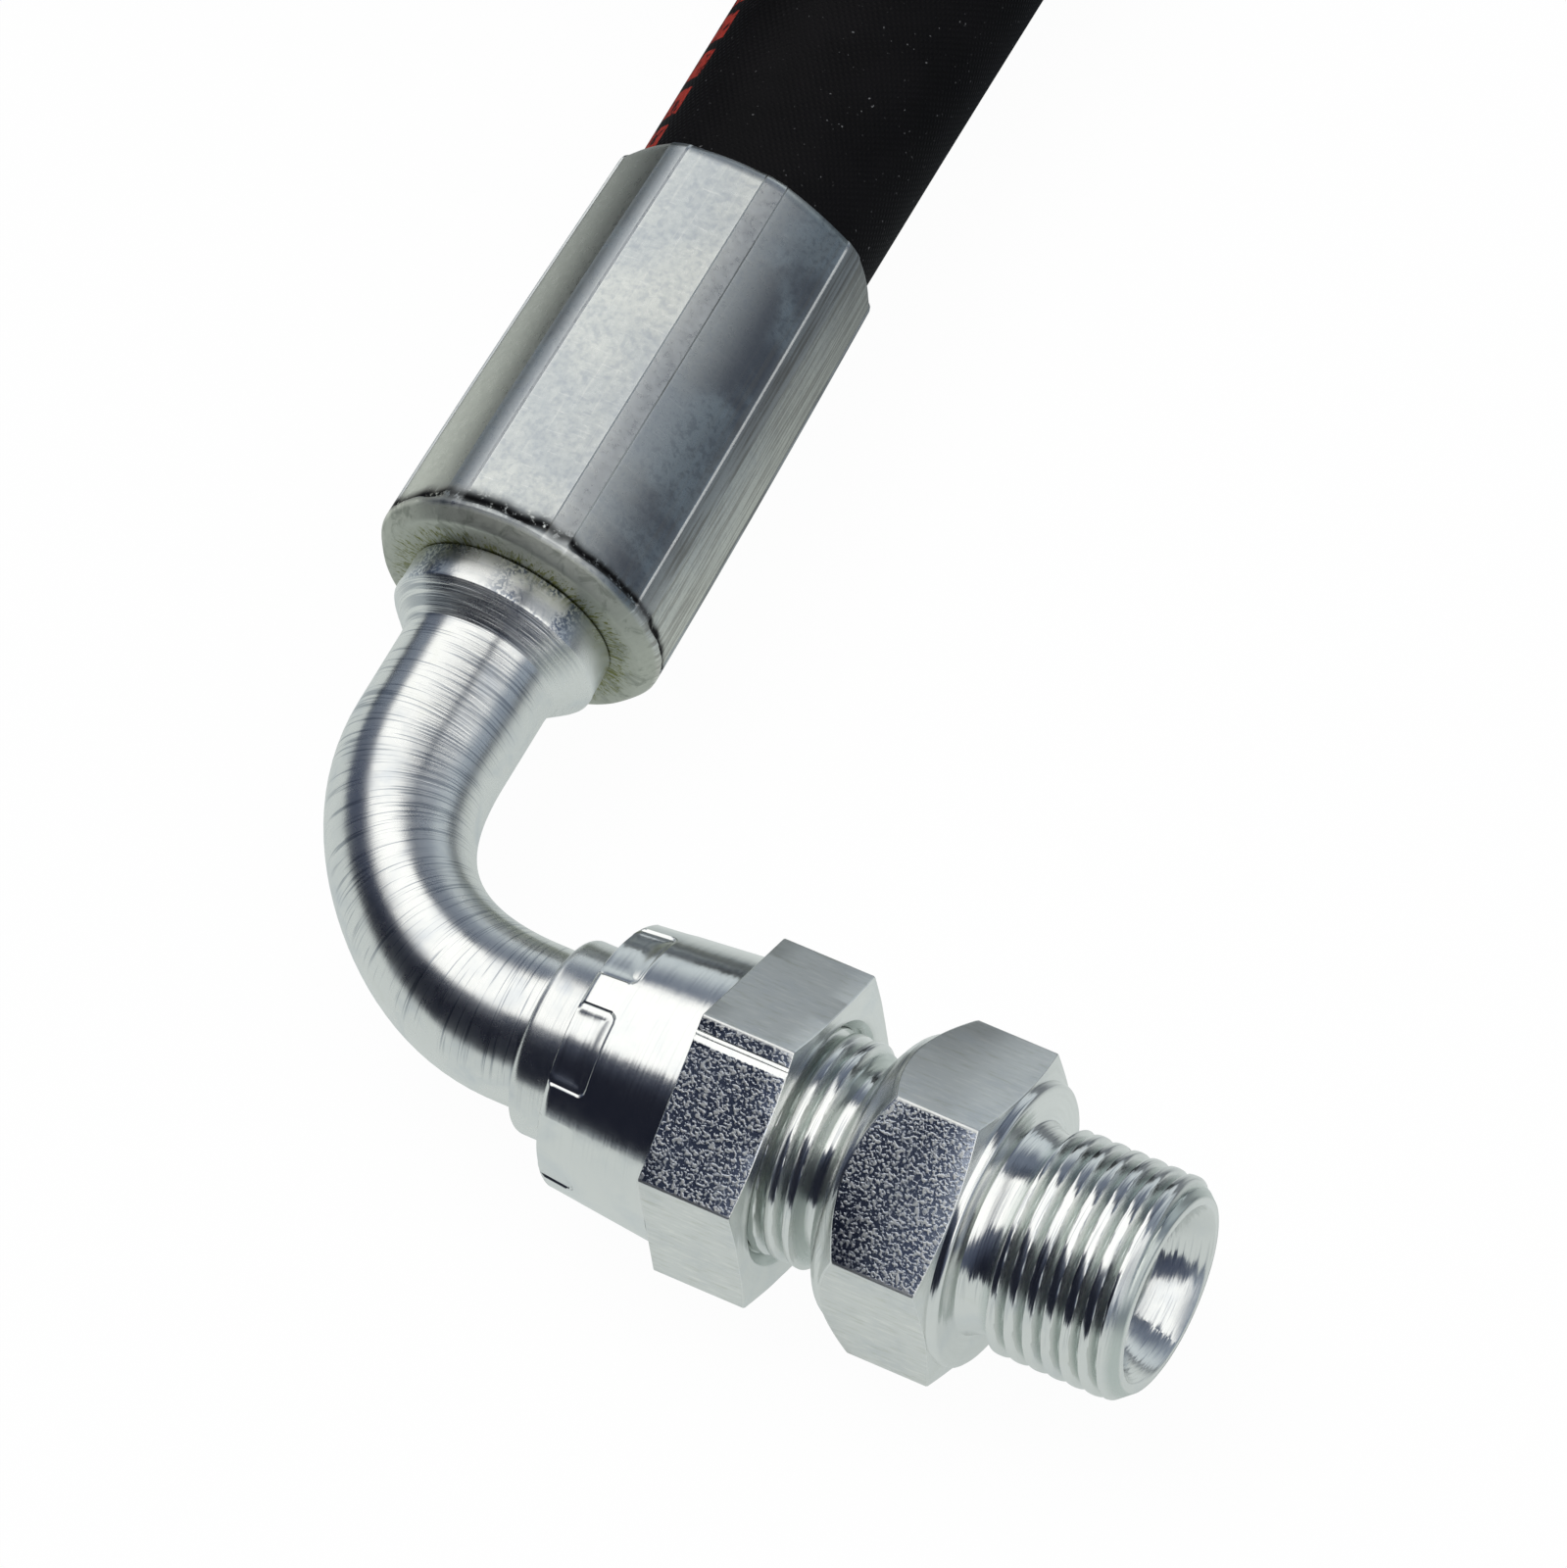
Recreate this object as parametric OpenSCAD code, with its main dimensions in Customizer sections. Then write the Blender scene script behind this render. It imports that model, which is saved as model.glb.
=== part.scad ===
// Hydraulic hose assembly: 1/2 inch two-wire braid hose with crimped ends.
// Near end: 90 degree swept elbow, crimped swivel nut and a male-male adapter.
// Far end: straight stem with the same swivel nut.
// Frame: origin on the adapter's outer thread, +X out of that thread,
// +Y along the hose as it leaves the elbow, +Z normal to the elbow's plane.

/* [Thread and hexagons] */
// Major diameter of the parallel pipe thread
thread_d = 20.955; // [20.8:0.005:21.1]
// Radial room between the male and the female thread cylinders
thread_gap = 0.05; // [0.03:0.01:0.1]
// Width across flats of the nut and of the adapter
hex_af = 27; // [26:0.5:30]

/* [Elbow stem] */
// Outer diameter of the stem's tube
tube_d = 14.8; // [13.5:0.1:16]
// Diameter of the oil way through both stems
stem_bore_d = 10; // [8:0.1:10.4]
// Bend radius at the tube's centre line
bend_r = 21; // [17:0.5:23]
// How much narrower the tube is in the plane of the bend, at mid-bend
bend_squash = 1.9; // [0:0.1:2.4]
// Elbow's corner to the rear of the swivel collar
leg_swivel = 24; // [24:0.5:40]
// Elbow's corner to the foot of the hose-side shoulder
leg_hose = 28.8; // [24:0.2:45]
// Diameter of the shoulder against the ferrule
shoulder_d = 19.7; // [18:0.1:22]
// Length of the shoulder, from its foot to the ferrule
shoulder_len = 7.2; // [6:0.1:12]

/* [Swivel end of a stem] */
// Diameter of the collar behind the nut
collar_d = 18.2; // [17.4:0.1:18.4]
// Length of that collar
collar_len = 6.2; // [5:0.1:9]
// Diameter of the groove that holds the nut's crimped lip
groove_d = 15.8; // [14.8:0.1:16.6]
// Width of that groove
groove_len = 3; // [2.4:0.1:4]
// Diameter of the flange that the nut turns on
flange_d = 17.8; // [17.2:0.1:18.2]
// Width of that flange
flange_len = 2.8; // [2:0.1:4]
// Diameter of the nose cone at the flange
nose_base_d = 17.2; // [16.4:0.1:17.2]
// Diameter of the nose cone at its tip
nose_tip_d = 12.2; // [11.6:0.1:13]
// Half of the seat's cone angle
seat_half_angle = 30; // [28:1:32]

/* [Swivel nut] */
// Length of the nut's hexagon
nut_hex_len = 9.3; // [8:0.1:13]
// Nut's front face beyond the tip of the nose
nose_recess = 9.17; // [7:0.01:11]
// Diameter of the crimped skirt at its rim
skirt_rim_d = 24.6; // [23.4:0.1:25]
// Diameter of the skirt where it meets the hexagon
skirt_base_d = 26.9; // [25:0.1:26.9]
// How far the collar shows behind the skirt's rim
collar_show = 4.6; // [3.6:0.1:4.7]
// Number of pressed windows round the skirt
window_count = 7; // [4:1:8]
// Angle that one window spans, in degrees
window_arc = 36.5; // [20:0.5:40]
// Length of a window from the rim
window_len = 3.9; // [2:0.1:4.4]
// Depth of a window
window_depth = 0.4; // [0.2:0.05:0.8]
// Angle of one window's centre from the upward normal, in degrees
window_phase = 26.5; // [0:0.5:51]
// Diameter of the undercut behind the nut's thread, which the nose stands in
nut_undercut_d = 21.8; // [21.3:0.1:23]
// Diameter of the countersink at the nut's mouth
nut_countersink_d = 23.2; // [22:0.1:25]
// Radial running room between the nut and the stem
swivel_gap = 0.08; // [0.03:0.01:0.1]
// Axial room between the nut's lip and the walls of its groove
swivel_play = 0.15; // [0.05:0.05:0.4]

/* [Adapter] */
// Length of each thread, end chamfer included
male_len = 13; // [10:0.1:16]
// Length of the chamfer at a thread's end
tip_chamfer = 1.6; // [1:0.1:2]
// Diameter of the flat ring at a thread's end
tip_face_d = 18.3; // [17.8:0.1:19]
// Diameter of the relief behind each thread
relief_d = 17.2; // [16.6:0.1:18.4]
// Width of the relief between the inner thread and the hexagon
inner_relief_len = 1; // [0.8:0.1:3]
// Width of the tapered neck between the washer face and the outer thread
outer_neck_len = 2.8; // [2:0.1:5]
// Diameter of the tapered neck at the washer face
outer_neck_d = 20; // [18.6:0.1:22]
// Hexagon with both its chamfers, from the relief to the washer face
adapter_body_len = 14.5; // [12:0.1:20]
// Diameter of the washer face
washer_d = 26.6; // [25:0.1:26.8]
// Diameter of the flow bore
adapter_bore_d = 12; // [10:0.1:13]
// Diameter of the seat cone at its mouth
mouth_d = 16.6; // [15.6:0.1:17]
// How far the adapter stands out from its seat on the nose
adapter_out = 3.8; // [0:0.1:9]

/* [Ferrule] */
// Length of the ferrule
ferrule_len = 43.6; // [38:0.1:60]
// Outer diameter at the stem end of the crimp
ferrule_d = 27.9; // [27:0.1:30]
// Outer diameter at the hose's mouth
ferrule_mouth_d = 25.9; // [25.6:0.1:28]
// Thickness of the end wall that locks behind the shoulder
ferrule_lip_len = 3.2; // [2:0.1:4.2]
// Depth of the marks that the crimping jaws leave, at their edges
jaw_depth = 0.15; // [0.05:0.01:0.3]
// How much deeper such a mark is in its middle, because the jaws are flatter than the ferrule
jaw_flat = 0.4; // [0:0.05:0.5]
// Number of crimping jaws
jaw_count = 8; // [6:1:10]
// Angle of one strip that stands between two jaws, in degrees
jaw_strip_arc = 9.5; // [4:0.5:14]
// Angle of one such strip from the upward normal, in degrees
jaw_phase = 20.5; // [0:0.5:45]
// Number of gripping grooves inside the ferrule
grip_count = 5; // [2:1:6]
// Length of the ferrule's mouth, where the crimp runs out
ferrule_mouth_len = 6; // [4:0.5:9]
// Depth of a gripping groove
grip_depth = 0.5; // [0.2:0.05:0.7]

/* [Stem tail] */
// Diameter of the groove that the ferrule's lip locks in
lock_groove_d = 15.3; // [14.6:0.1:16]
// Diameter of the lock collar inside the ferrule
lock_collar_d = 17.2; // [16.6:0.1:18]
// Width of the lock collar
lock_collar_len = 2; // [1.5:0.1:3]
// Diameter of the tail at the crest of a barb
barb_d = 13; // [12.6:0.1:13.4]
// Depth of a barb
barb_depth = 0.55; // [0.2:0.05:0.7]
// Distance from the tail's end to the ferrule's mouth
tail_inset = 2.7; // [1.5:0.1:6]
// Number of barbs
barb_count = 8; // [3:1:8]
// Radial and axial room between pieces that are pressed together
seat_gap = 0.1; // [0.05:0.01:0.2]

/* [Hose] */
// Inner diameter of the hose
hose_id = 12.7; // [12:0.1:13]
// Outer diameter of the hose
hose_od = 23.2; // [22.8:0.1:23.4]
// Thickness of the rubber inner tube
tube_wall = 2; // [1.6:0.05:2.2]
// Thickness of one wire braid
braid_wall = 0.7; // [0.5:0.05:0.8]
// Thickness of the rubber between the two braids
interlayer_wall = 0.3; // [0.2:0.05:0.4]
// How much of the rubber's thickness the crimp squeezes out
crimp_squeeze = 0.2; // [0.1:0.01:0.25]
// Room left between two neighbouring layers
layer_gap = 0.03; // [0.02:0.01:0.05]

/* [Coil tie] */
// Width of the tie's strap
tie_width = 7.6; // [4:0.1:10]
// Thickness of the tie's strap
tie_thick = 1.1; // [0.8:0.1:1.2]
// Length of the tie's head along the strap
tie_head_len = 12; // [8:0.5:16]
// Height of the tie's head above the strap
tie_head_h = 5.9; // [4:0.1:8]
// How far the head is wider than the strap, each side
tie_head_rim = 1; // [0.4:0.1:2]

/* [Hidden] */
$fn = 96;

zinc = [0.78, 0.81, 0.83];
zinc_dark = [0.66, 0.70, 0.74];
rubber = [0.05, 0.05, 0.055];
liner_rubber = [0.10, 0.10, 0.10];
wire = [0.62, 0.55, 0.40];
nylon = [0.09, 0.09, 0.09];

// Threads and hexagons
thread_r = thread_d / 2;
female_r = thread_r + thread_gap;
flat_r = hex_af / 2;
corner_r = flat_r / cos(30);

// Swivel end, measured along a stem's axis from the rear of the collar
groove_z = collar_len;
flange_z = groove_z + groove_len;
nose_z = flange_z + flange_len;
nose_len = (nose_base_d - nose_tip_d) / 2 / tan(seat_half_angle);
swivel_len = nose_z + nose_len;
nut_rear_z = collar_show;
nut_front_z = swivel_len + nose_recess;
nut_len = nut_front_z - nut_rear_z;

// Adapter, measured along its axis from its inner end face
inner_hex_z = male_len + inner_relief_len;
washer_z = inner_hex_z + adapter_body_len;
outer_thread_z = washer_z + outer_neck_len;
adapter_len = outer_thread_z + male_len;
// Length of the nose that is inside the adapter when both cones meet
seated_depth = (mouth_d - nose_tip_d) / 2 / tan(seat_half_angle);

// Places along X of the row frame, whose origin is the last full thread
adapter_x = tip_chamfer - adapter_len;
nose_tip_x = adapter_x - adapter_out + seated_depth;
swivel_x = nose_tip_x - swivel_len;
corner_x = swivel_x - leg_swivel;
ferrule_y = leg_hose + shoulder_len;

// Hose, radii of the layers' borders: relaxed, then under the crimp
hose_r = hose_od / 2;
free_r = [hose_id / 2,
    hose_id / 2 + tube_wall,
    hose_id / 2 + tube_wall + braid_wall,
    hose_id / 2 + tube_wall + braid_wall + interlayer_wall,
    hose_id / 2 + tube_wall + 2 * braid_wall + interlayer_wall,
    hose_r];
cover_wall = free_r[5] - free_r[4];
kept = 1 - crimp_squeeze;
tail_r = barb_d / 2 + layer_gap;
crimp_r = [tail_r,
    tail_r + tube_wall * kept,
    tail_r + tube_wall * kept + braid_wall,
    tail_r + (tube_wall + interlayer_wall) * kept + braid_wall,
    tail_r + (tube_wall + interlayer_wall) * kept + 2 * braid_wall,
    tail_r + (tube_wall + interlayer_wall + cover_wall) * kept + 2 * braid_wall];

// Crimped joint, measured from the ferrule's stem end
lock_z = ferrule_lip_len + seat_gap;
tail_z = lock_z + lock_collar_len;
hose_z = tail_z + 0.4;
tail_tip_len = 2;
tail_end_z = ferrule_len - tail_inset;
barb_pitch = (tail_end_z - tail_tip_len - tail_z) / barb_count;
mouth_z = ferrule_len - ferrule_mouth_len;
grip_flank = 0.6;
grip_flat = 1.6;
grip_z = hose_z + 2.2 + grip_flat;
grip_end_z = mouth_z - 2.7;
grip_pitch = (grip_end_z + grip_flat - grip_z) / grip_count;

// Route of the free hose, as offsets from the ferrule's mouth: down to the
// surface, once round the coil, then up and over the coil's own start
run_points = [[0, 0, 0], [0, 20, 0], [0, 45, -0.5], [0, 70, -1.4], [0, 95, -2.2],
    [0, 110, -2.5], [0, 125, -2.7], [0, 140, -2.8]];
coil_r = 124;
coil_centre = [-coil_r, 140, -2.8];
coil_arc = 278;
lap_end = 395;
lap_step = 9;
far_heading = [-sin(lap_end), cos(lap_end), 0];
// The tail climbs onto the coil over one angle, then lifts the far fitting clear of it
lap_height = 23.3;
lap_climb = 67;
lift_height = 2;
lift_climb = 20;
function ease(t) = let (u = min(max(t, 0), 1)) u * u * (3 - 2 * u);
function lap_rise(a) = lap_height * ease((a - coil_arc) / lap_climb)
    + lift_height * ease((a - lap_end) / lift_climb + 1);
tail_points = [for (a = [coil_arc:lap_step:lap_end])
    coil_centre + [coil_r * cos(a), coil_r * sin(a), lap_rise(a)]];
run_heading = [0, 1, 0];
coil_end_heading = [-sin(coil_arc), cos(coil_arc), 0];
hose_sides = 12;

// Tie round the two laps that lie on each other
tie_angle = 372;
tie_half_gap = lap_rise(tie_angle) / 2;
tie_room = 0.08;

// Moves a shape made along Z so that it runs along the row's +X or +Y
module along_x(x) translate([x, 0, 0]) rotate([0, 90, 0]) children();
module along_y(y) translate([corner_x, y, 0]) rotate([-90, 0, 0]) children();
// Puts a shape at the mouth of the near ferrule
module at_hose_mouth() translate([corner_x, ferrule_y + ferrule_len, 0]) children();
// Puts a shape made along Z on the far fitting's axis, with Z towards the hose
module at_far_end() {
    at_hose_mouth()
        translate(tail_points[len(tail_points) - 1] + ferrule_len * far_heading)
            rotate([0, 0, lap_end + 90])
                rotate([0, -90, 0])
                    children();
}

// Points of an arc, from angle a0 to a1, in steps
function arc(cx, cy, r, a0, a1, steps) =
    [for (i = [0:steps]) let (a = a0 + (a1 - a0) * i / steps) [cx + r * cos(a), cy + r * sin(a)]];
// The same profile with its radii changed by d
function wider(points, d) = [for (p = points) [p.x + d, p.y]];
function reversed(points) = [for (i = [len(points) - 1:-1:0]) points[i]];

// Swivel end of a stem: collar, groove, flange and nose cone, as [radius, z]
collar_round = 0.9;
function swivel_profile() = concat(
    [[0, -0.5], [tube_d / 2, -0.5], [tube_d / 2, 0]],
    arc(collar_d / 2 - collar_round, collar_round, collar_round, -60, 0, 5),
    [[collar_d / 2, collar_len], [groove_d / 2, collar_len], [groove_d / 2, flange_z],
        [flange_d / 2, flange_z], [flange_d / 2, nose_z], [nose_base_d / 2, nose_z],
        [nose_tip_d / 2, swivel_len], [0, swivel_len]]);

// Hose side of a stem: rounded shoulder, lock groove, lock collar and barbs, as [radius, z]
function shoulder_profile() = let (r = shoulder_d / 2, foot = shoulder_len) concat(
    [[0, -foot], [tube_d / 2, -foot]],
    [for (p = [[0.2, 0.5], [0.61, 1.5], [0.86, 2.3], [0.98, 3.6], [1.04, 4.2], [1, 4.5]])
        [tube_d / 2 + (r - tube_d / 2) * p[0], -foot + p[1]]],
    [[r, -seat_gap], [lock_groove_d / 2, -seat_gap], [lock_groove_d / 2, lock_z],
        [lock_collar_d / 2, lock_z], [lock_collar_d / 2, tail_z]]);
function barb_profile() = concat(
    [for (i = [0:barb_count - 1], k = [0:1]) k == 0
        ? [barb_d / 2 - barb_depth, tail_z + i * barb_pitch]
        : [barb_d / 2, tail_z + (i + 0.85) * barb_pitch]],
    [[barb_d / 2, tail_end_z - tail_tip_len], [barb_d / 2 - 0.8, tail_end_z]]);

// Point of the bent tube: ring i of the bend, angle s round the tube. The first
// and the last ring reach into the straight legs.
bend_rings = 16;
bend_sides = 30;
bend_reach = 1;
function bend_point(i, s) = let (
        a = 90 * min(max(i, 0), bend_rings) / bend_rings,
        in_plane = tube_d / 2 - 0.02 - bend_squash / 2 * pow(sin(2 * a), 2),
        r = bend_r - in_plane * cos(s))
    [bend_r - r * sin(a) + (i < 0 ? bend_reach : 0),
        bend_r - r * cos(a) + (i > bend_rings ? bend_reach : 0),
        -(tube_d / 2 - 0.02) * sin(s)];
bend_points = [for (i = [-1:bend_rings + 1], k = [0:bend_sides - 1])
    bend_point(i, 360 * k / bend_sides)];

// Faces of a tube of rings, closed by a cap at each end
function ring_faces(rings, sides) = concat(
    [[for (k = [0:sides - 1]) k]],
    [for (i = [0:rings - 1], k = [0:sides - 1]) let (j = (k + 1) % sides)
        [i * sides + k, (i + 1) * sides + k, (i + 1) * sides + j, i * sides + j]],
    [[for (k = [sides - 1:-1:0]) rings * sides + k]]);

// Rings of a tube swept along a route that starts and ends on given headings
function unit(v) = v / norm(v);
function heading(points, i, first, last) = i == 0 ? first
    : i == len(points) - 1 ? last : unit(points[i + 1] - points[i - 1]);
function route_ring(p, t, r, sides) = let (n = unit(cross([0, 0, 1], t)), b = cross(t, n))
    [for (k = [0:sides - 1]) let (a = 360 * (k + 0.5) / sides) p + r * (cos(a) * n + sin(a) * b)];
function route_tube(points, first, last, r, sides) = [for (i = [0:len(points) - 1])
    each route_ring(points[i], heading(points, i, first, last), r, sides)];

// Bent tube between the two legs, with its bore left solid
module bend_tube() polyhedron(bend_points, ring_faces(bend_rings + 2, bend_sides));

module elbow_stem() color(zinc) difference() {
    union() {
        translate([corner_x, 0, 0]) bend_tube();
        along_x(corner_x + bend_r) cylinder(d = tube_d, h = leg_swivel - bend_r);
        along_x(swivel_x) rotate_extrude() polygon(swivel_profile());
        along_y(bend_r) cylinder(d = tube_d, h = leg_hose - bend_r);
        along_y(ferrule_y) stem_tail();
    }
    translate([corner_x + bend_r, bend_r, 0])
        rotate([0, 0, 180]) rotate_extrude(angle = 90)
            translate([bend_r, 0]) circle(d = stem_bore_d);
    along_x(corner_x + bend_r) cylinder(d = stem_bore_d, h = leg_swivel + swivel_len);
    along_y(bend_r) cylinder(d = stem_bore_d, h = leg_hose + shoulder_len + tail_end_z);
}

// Shoulder, lock collar and barbed tail, without their bore
module stem_tail() rotate_extrude()
    polygon(concat(shoulder_profile(), barb_profile(), [[0, tail_end_z]]));

module far_stem() color(zinc) at_far_end() difference() {
    union() {
        stem_tail();
        translate([0, 0, -shoulder_len]) rotate([180, 0, 0])
            rotate_extrude() polygon(swivel_profile());
    }
    translate([0, 0, -shoulder_len - swivel_len - 1])
        cylinder(d = stem_bore_d, h = swivel_len + shoulder_len + tail_end_z + 2);
}

// Inside of the ferrule from the end wall to the mouth, as [radius, z]
function grip_profile() = concat(
    [[crimp_r[5] + grip_depth, hose_z], [crimp_r[5] + grip_depth, hose_z + 1.2],
        [crimp_r[5], hose_z + 1.2 + grip_flank]],
    [for (i = [0:grip_count - 1]) let (z = grip_z + i * grip_pitch) each
        [[crimp_r[5], z], [crimp_r[5] + grip_depth, z + grip_flank],
            [crimp_r[5] + grip_depth, z + grip_pitch - grip_flat - grip_flank],
            [crimp_r[5], z + grip_pitch - grip_flat]]],
    [[crimp_r[5], mouth_z], [hose_r + layer_gap, ferrule_len]]);

function ferrule_radius(z) = (ferrule_d + (ferrule_mouth_d - ferrule_d)
    * pow(max(0, z) / ferrule_len, 1.5)) / 2;

// Mark of one crimping jaw, to take away: a sector of the ferrule beyond the jaw's face,
// which is part of a turned surface of a larger radius
jaw_z = 1.9;
jaw_arc = 360 / jaw_count - jaw_strip_arc;
jaw_face_r = 1 / (2 / ferrule_d - 2 * jaw_flat / pow(ferrule_d / 2 * sin(jaw_arc / 2), 2));
module jaw_mark() difference() {
    rotate([0, 0, -jaw_arc / 2]) rotate_extrude(angle = jaw_arc)
        translate([0, jaw_z]) square([ferrule_d / 2 + 2, ferrule_len]);
    translate([ferrule_d / 2 - jaw_face_r, 0]) rotate_extrude($fn = 240) polygon(concat(
        [[0, 0]], [for (i = [0:4]) let (z = (ferrule_len + 1) * i / 4)
            [jaw_face_r + ferrule_radius(z) - ferrule_d / 2 - jaw_depth - jaw_flat, z]],
        [[0, ferrule_len + 1]]));
}

// Chamfers round the ferrule's stem end, radial and axial, and round its mouth
end_chamfer = [1.1, 1.7];
mouth_chamfer = [0.5, 0.7];
module crimped_ferrule() difference() {
    rotate_extrude() polygon(concat(
        [[lock_groove_d / 2 + seat_gap, 0], [ferrule_d / 2 - end_chamfer[0], 0],
            [ferrule_radius(0), end_chamfer[1]]],
        [for (i = [1:4]) let (z = end_chamfer[1]
            + (ferrule_len - end_chamfer[1] - mouth_chamfer[1]) * i / 4) [ferrule_radius(z), z]],
        [[ferrule_mouth_d / 2 - mouth_chamfer[0], ferrule_len]],
        reversed(grip_profile()),
        [[crimp_r[5] + grip_depth, ferrule_lip_len], [lock_groove_d / 2 + seat_gap, ferrule_lip_len]]));
    for (k = [0:jaw_count - 1])
        rotate([0, 0, jaw_phase - 90 + (k + 0.5) * 360 / jaw_count]) jaw_mark();
}

// One layer of the hose's cut end, between borders i and i + 1
function inner_border(i) = i > 0
    ? [[crimp_r[i], hose_z], [crimp_r[i], mouth_z], [free_r[i], ferrule_len]]
    : concat([[(barb_d - barb_depth) / 2 + layer_gap, hose_z]],
        [for (p = wider(barb_profile(), layer_gap)) if (p.y > hose_z) p],
        [[free_r[0], tail_end_z + 0.5], [free_r[0], ferrule_len]]);
function outer_border(i) = i < 4 ? wider(inner_border(i + 1), -layer_gap)
    : wider(grip_profile(), -layer_gap);
module hose_layer(i) rotate_extrude()
    polygon(concat(inner_border(i), reversed(outer_border(i))));

// Inside of the nut from its rear rim to its mouth, as [radius, z]
function nut_bore_profile() = let (rim = -nut_rear_z) [
    [0, -1], [collar_d / 2 + 2 * swivel_gap, -1],
    [collar_d / 2 + 2 * swivel_gap, groove_z + swivel_play + rim - 0.1],
    [groove_d / 2 + swivel_gap, groove_z + swivel_play + rim],
    [groove_d / 2 + swivel_gap, flange_z - swivel_play + rim],
    [flange_d / 2 + swivel_gap, flange_z - swivel_play + rim],
    [flange_d / 2 + swivel_gap, nose_z + 0.3 + rim],
    [nut_undercut_d / 2, nose_z + 0.3 + rim], [nut_undercut_d / 2, swivel_len + rim],
    [female_r, swivel_len + rim + 0.3], [female_r, nut_len - 1.1],
    [nut_countersink_d / 2, nut_len], [nut_countersink_d / 2, nut_len + 1], [0, nut_len + 1]];

// Hexagon with its corners turned down by a cone at each end
module turned_hex(length, rear, front) intersection() {
    cylinder(r = corner_r, h = length, $fn = 6);
    rotate_extrude() polygon([[0, 0], [flat_r, 0], [corner_r + 0.2, rear],
        [corner_r + 0.2, length - front], [flat_r, length], [0, length]]);
}

nut_hex_z = nut_len - nut_hex_len;
nut_rear_chamfer = 0.15;
nut_front_chamfer = 0.35;
rim_chamfer = 0.6;
function skirt_radius(z) = (skirt_rim_d + (skirt_base_d - skirt_rim_d) * z / nut_hex_z) / 2;

module swivel_nut_body() difference() {
    union() {
        translate([0, 0, nut_hex_z]) turned_hex(nut_hex_len, nut_rear_chamfer, nut_front_chamfer);
        rotate_extrude() polygon([[0, 0], [skirt_radius(0) - rim_chamfer, 0],
            [skirt_radius(rim_chamfer), rim_chamfer],
            [skirt_base_d / 2, nut_hex_z], [skirt_base_d / 2, nut_hex_z + 1], [0, nut_hex_z + 1]]);
    }
    rotate_extrude() polygon(nut_bore_profile());
    for (k = [0:window_count - 1])
        rotate([0, 0, 180 + window_phase - window_arc / 2 + k * 360 / window_count])
            rotate_extrude(angle = window_arc)
                polygon([[skirt_radius(-1) - window_depth, -1], [skirt_rim_d / 2 + 2, -1],
                    [skirt_rim_d / 2 + 2, window_len],
                    [skirt_radius(window_len) - window_depth, window_len]]);
}

module swivel_nut() color(zinc) along_x(swivel_x + nut_rear_z) swivel_nut_body();

module far_swivel_nut() color(zinc) at_far_end()
    translate([0, 0, -shoulder_len - nut_rear_z]) rotate([180, 0, 30]) swivel_nut_body();

// Dome behind the adapter's hexagon, as [radius beyond the flats, z], and the end of the
// cone that turns the hexagon's corners down
adapter_dome = [[-3.2, 0.6], [-2.1, 1.2], [-1.2, 1.7], [-0.4, 2.4], [0, 3.1]];
adapter_corner_z = 5.2;
// Adapter's turned outline, as [radius, z]
function adapter_profile() = [
    [0, 0], [tip_face_d / 2, 0], [thread_r, tip_chamfer], [thread_r, male_len - 0.5],
    [relief_d / 2, male_len], [relief_d / 2, inner_hex_z],
    each [for (p = adapter_dome) [flat_r + p[0], inner_hex_z + p[1]]],
    [corner_r + 0.15, inner_hex_z + adapter_corner_z],
    [corner_r + 0.15, washer_z - 1.6], [washer_d / 2, washer_z - 0.9],
    [washer_d / 2, washer_z - 0.3], [washer_d / 2 - 0.3, washer_z],
    [outer_neck_d / 2, washer_z], [relief_d / 2 + 0.6, outer_thread_z],
    [thread_r, outer_thread_z + 0.6], [thread_r, adapter_len - tip_chamfer],
    [tip_face_d / 2, adapter_len], [0, adapter_len]];

module port_adapter() color(zinc) along_x(adapter_x) difference() {
    intersection() {
        rotate_extrude() polygon(adapter_profile());
        cylinder(r = corner_r, h = adapter_len, $fn = 6);
    }
    translate([0, 0, -1]) cylinder(d = adapter_bore_d, h = adapter_len + 2);
    seat_cone();
    translate([0, 0, adapter_len]) mirror([0, 0, 1]) seat_cone();
}

// Cone of the seat at a thread's end, to take away
module seat_cone() rotate_extrude() polygon([[0, -1], [mouth_d / 2 + tan(seat_half_angle), -1],
    [0, mouth_d / 2 / tan(seat_half_angle)]]);

module ferrule() color(zinc_dark) along_y(ferrule_y) crimped_ferrule();
module far_ferrule() color(zinc_dark) at_far_end() crimped_ferrule();

module near_layer(i) along_y(ferrule_y) hose_layer(i);
module near_inner_tube() color(liner_rubber) near_layer(0);
module near_inner_braid() color(wire) near_layer(1);
module near_braid_interlayer() color(liner_rubber) near_layer(2);
module near_outer_braid() color(wire) near_layer(3);
module near_hose_cover() color(rubber) near_layer(4);
module far_inner_tube() color(liner_rubber) at_far_end() hose_layer(0);
module far_inner_braid() color(wire) at_far_end() hose_layer(1);
module far_braid_interlayer() color(liner_rubber) at_far_end() hose_layer(2);
module far_outer_braid() color(wire) at_far_end() hose_layer(3);
module far_hose_cover() color(rubber) at_far_end() hose_layer(4);

// Free hose: the straight run, the round coil and the tail to the far ferrule
module hose_run() color(rubber) at_hose_mouth()
    polyhedron(route_tube(run_points, run_heading, run_heading, hose_r, hose_sides),
        ring_faces(len(run_points) - 1, hose_sides));
module hose_coil() color(rubber) at_hose_mouth() translate(coil_centre)
    rotate_extrude(angle = coil_arc) translate([coil_r, 0]) circle(r = hose_r);
module hose_tail() color(rubber) at_hose_mouth()
    polyhedron(route_tube(tail_points, coil_end_heading, far_heading, hose_r, hose_sides),
        ring_faces(len(tail_points) - 1, hose_sides));

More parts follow.
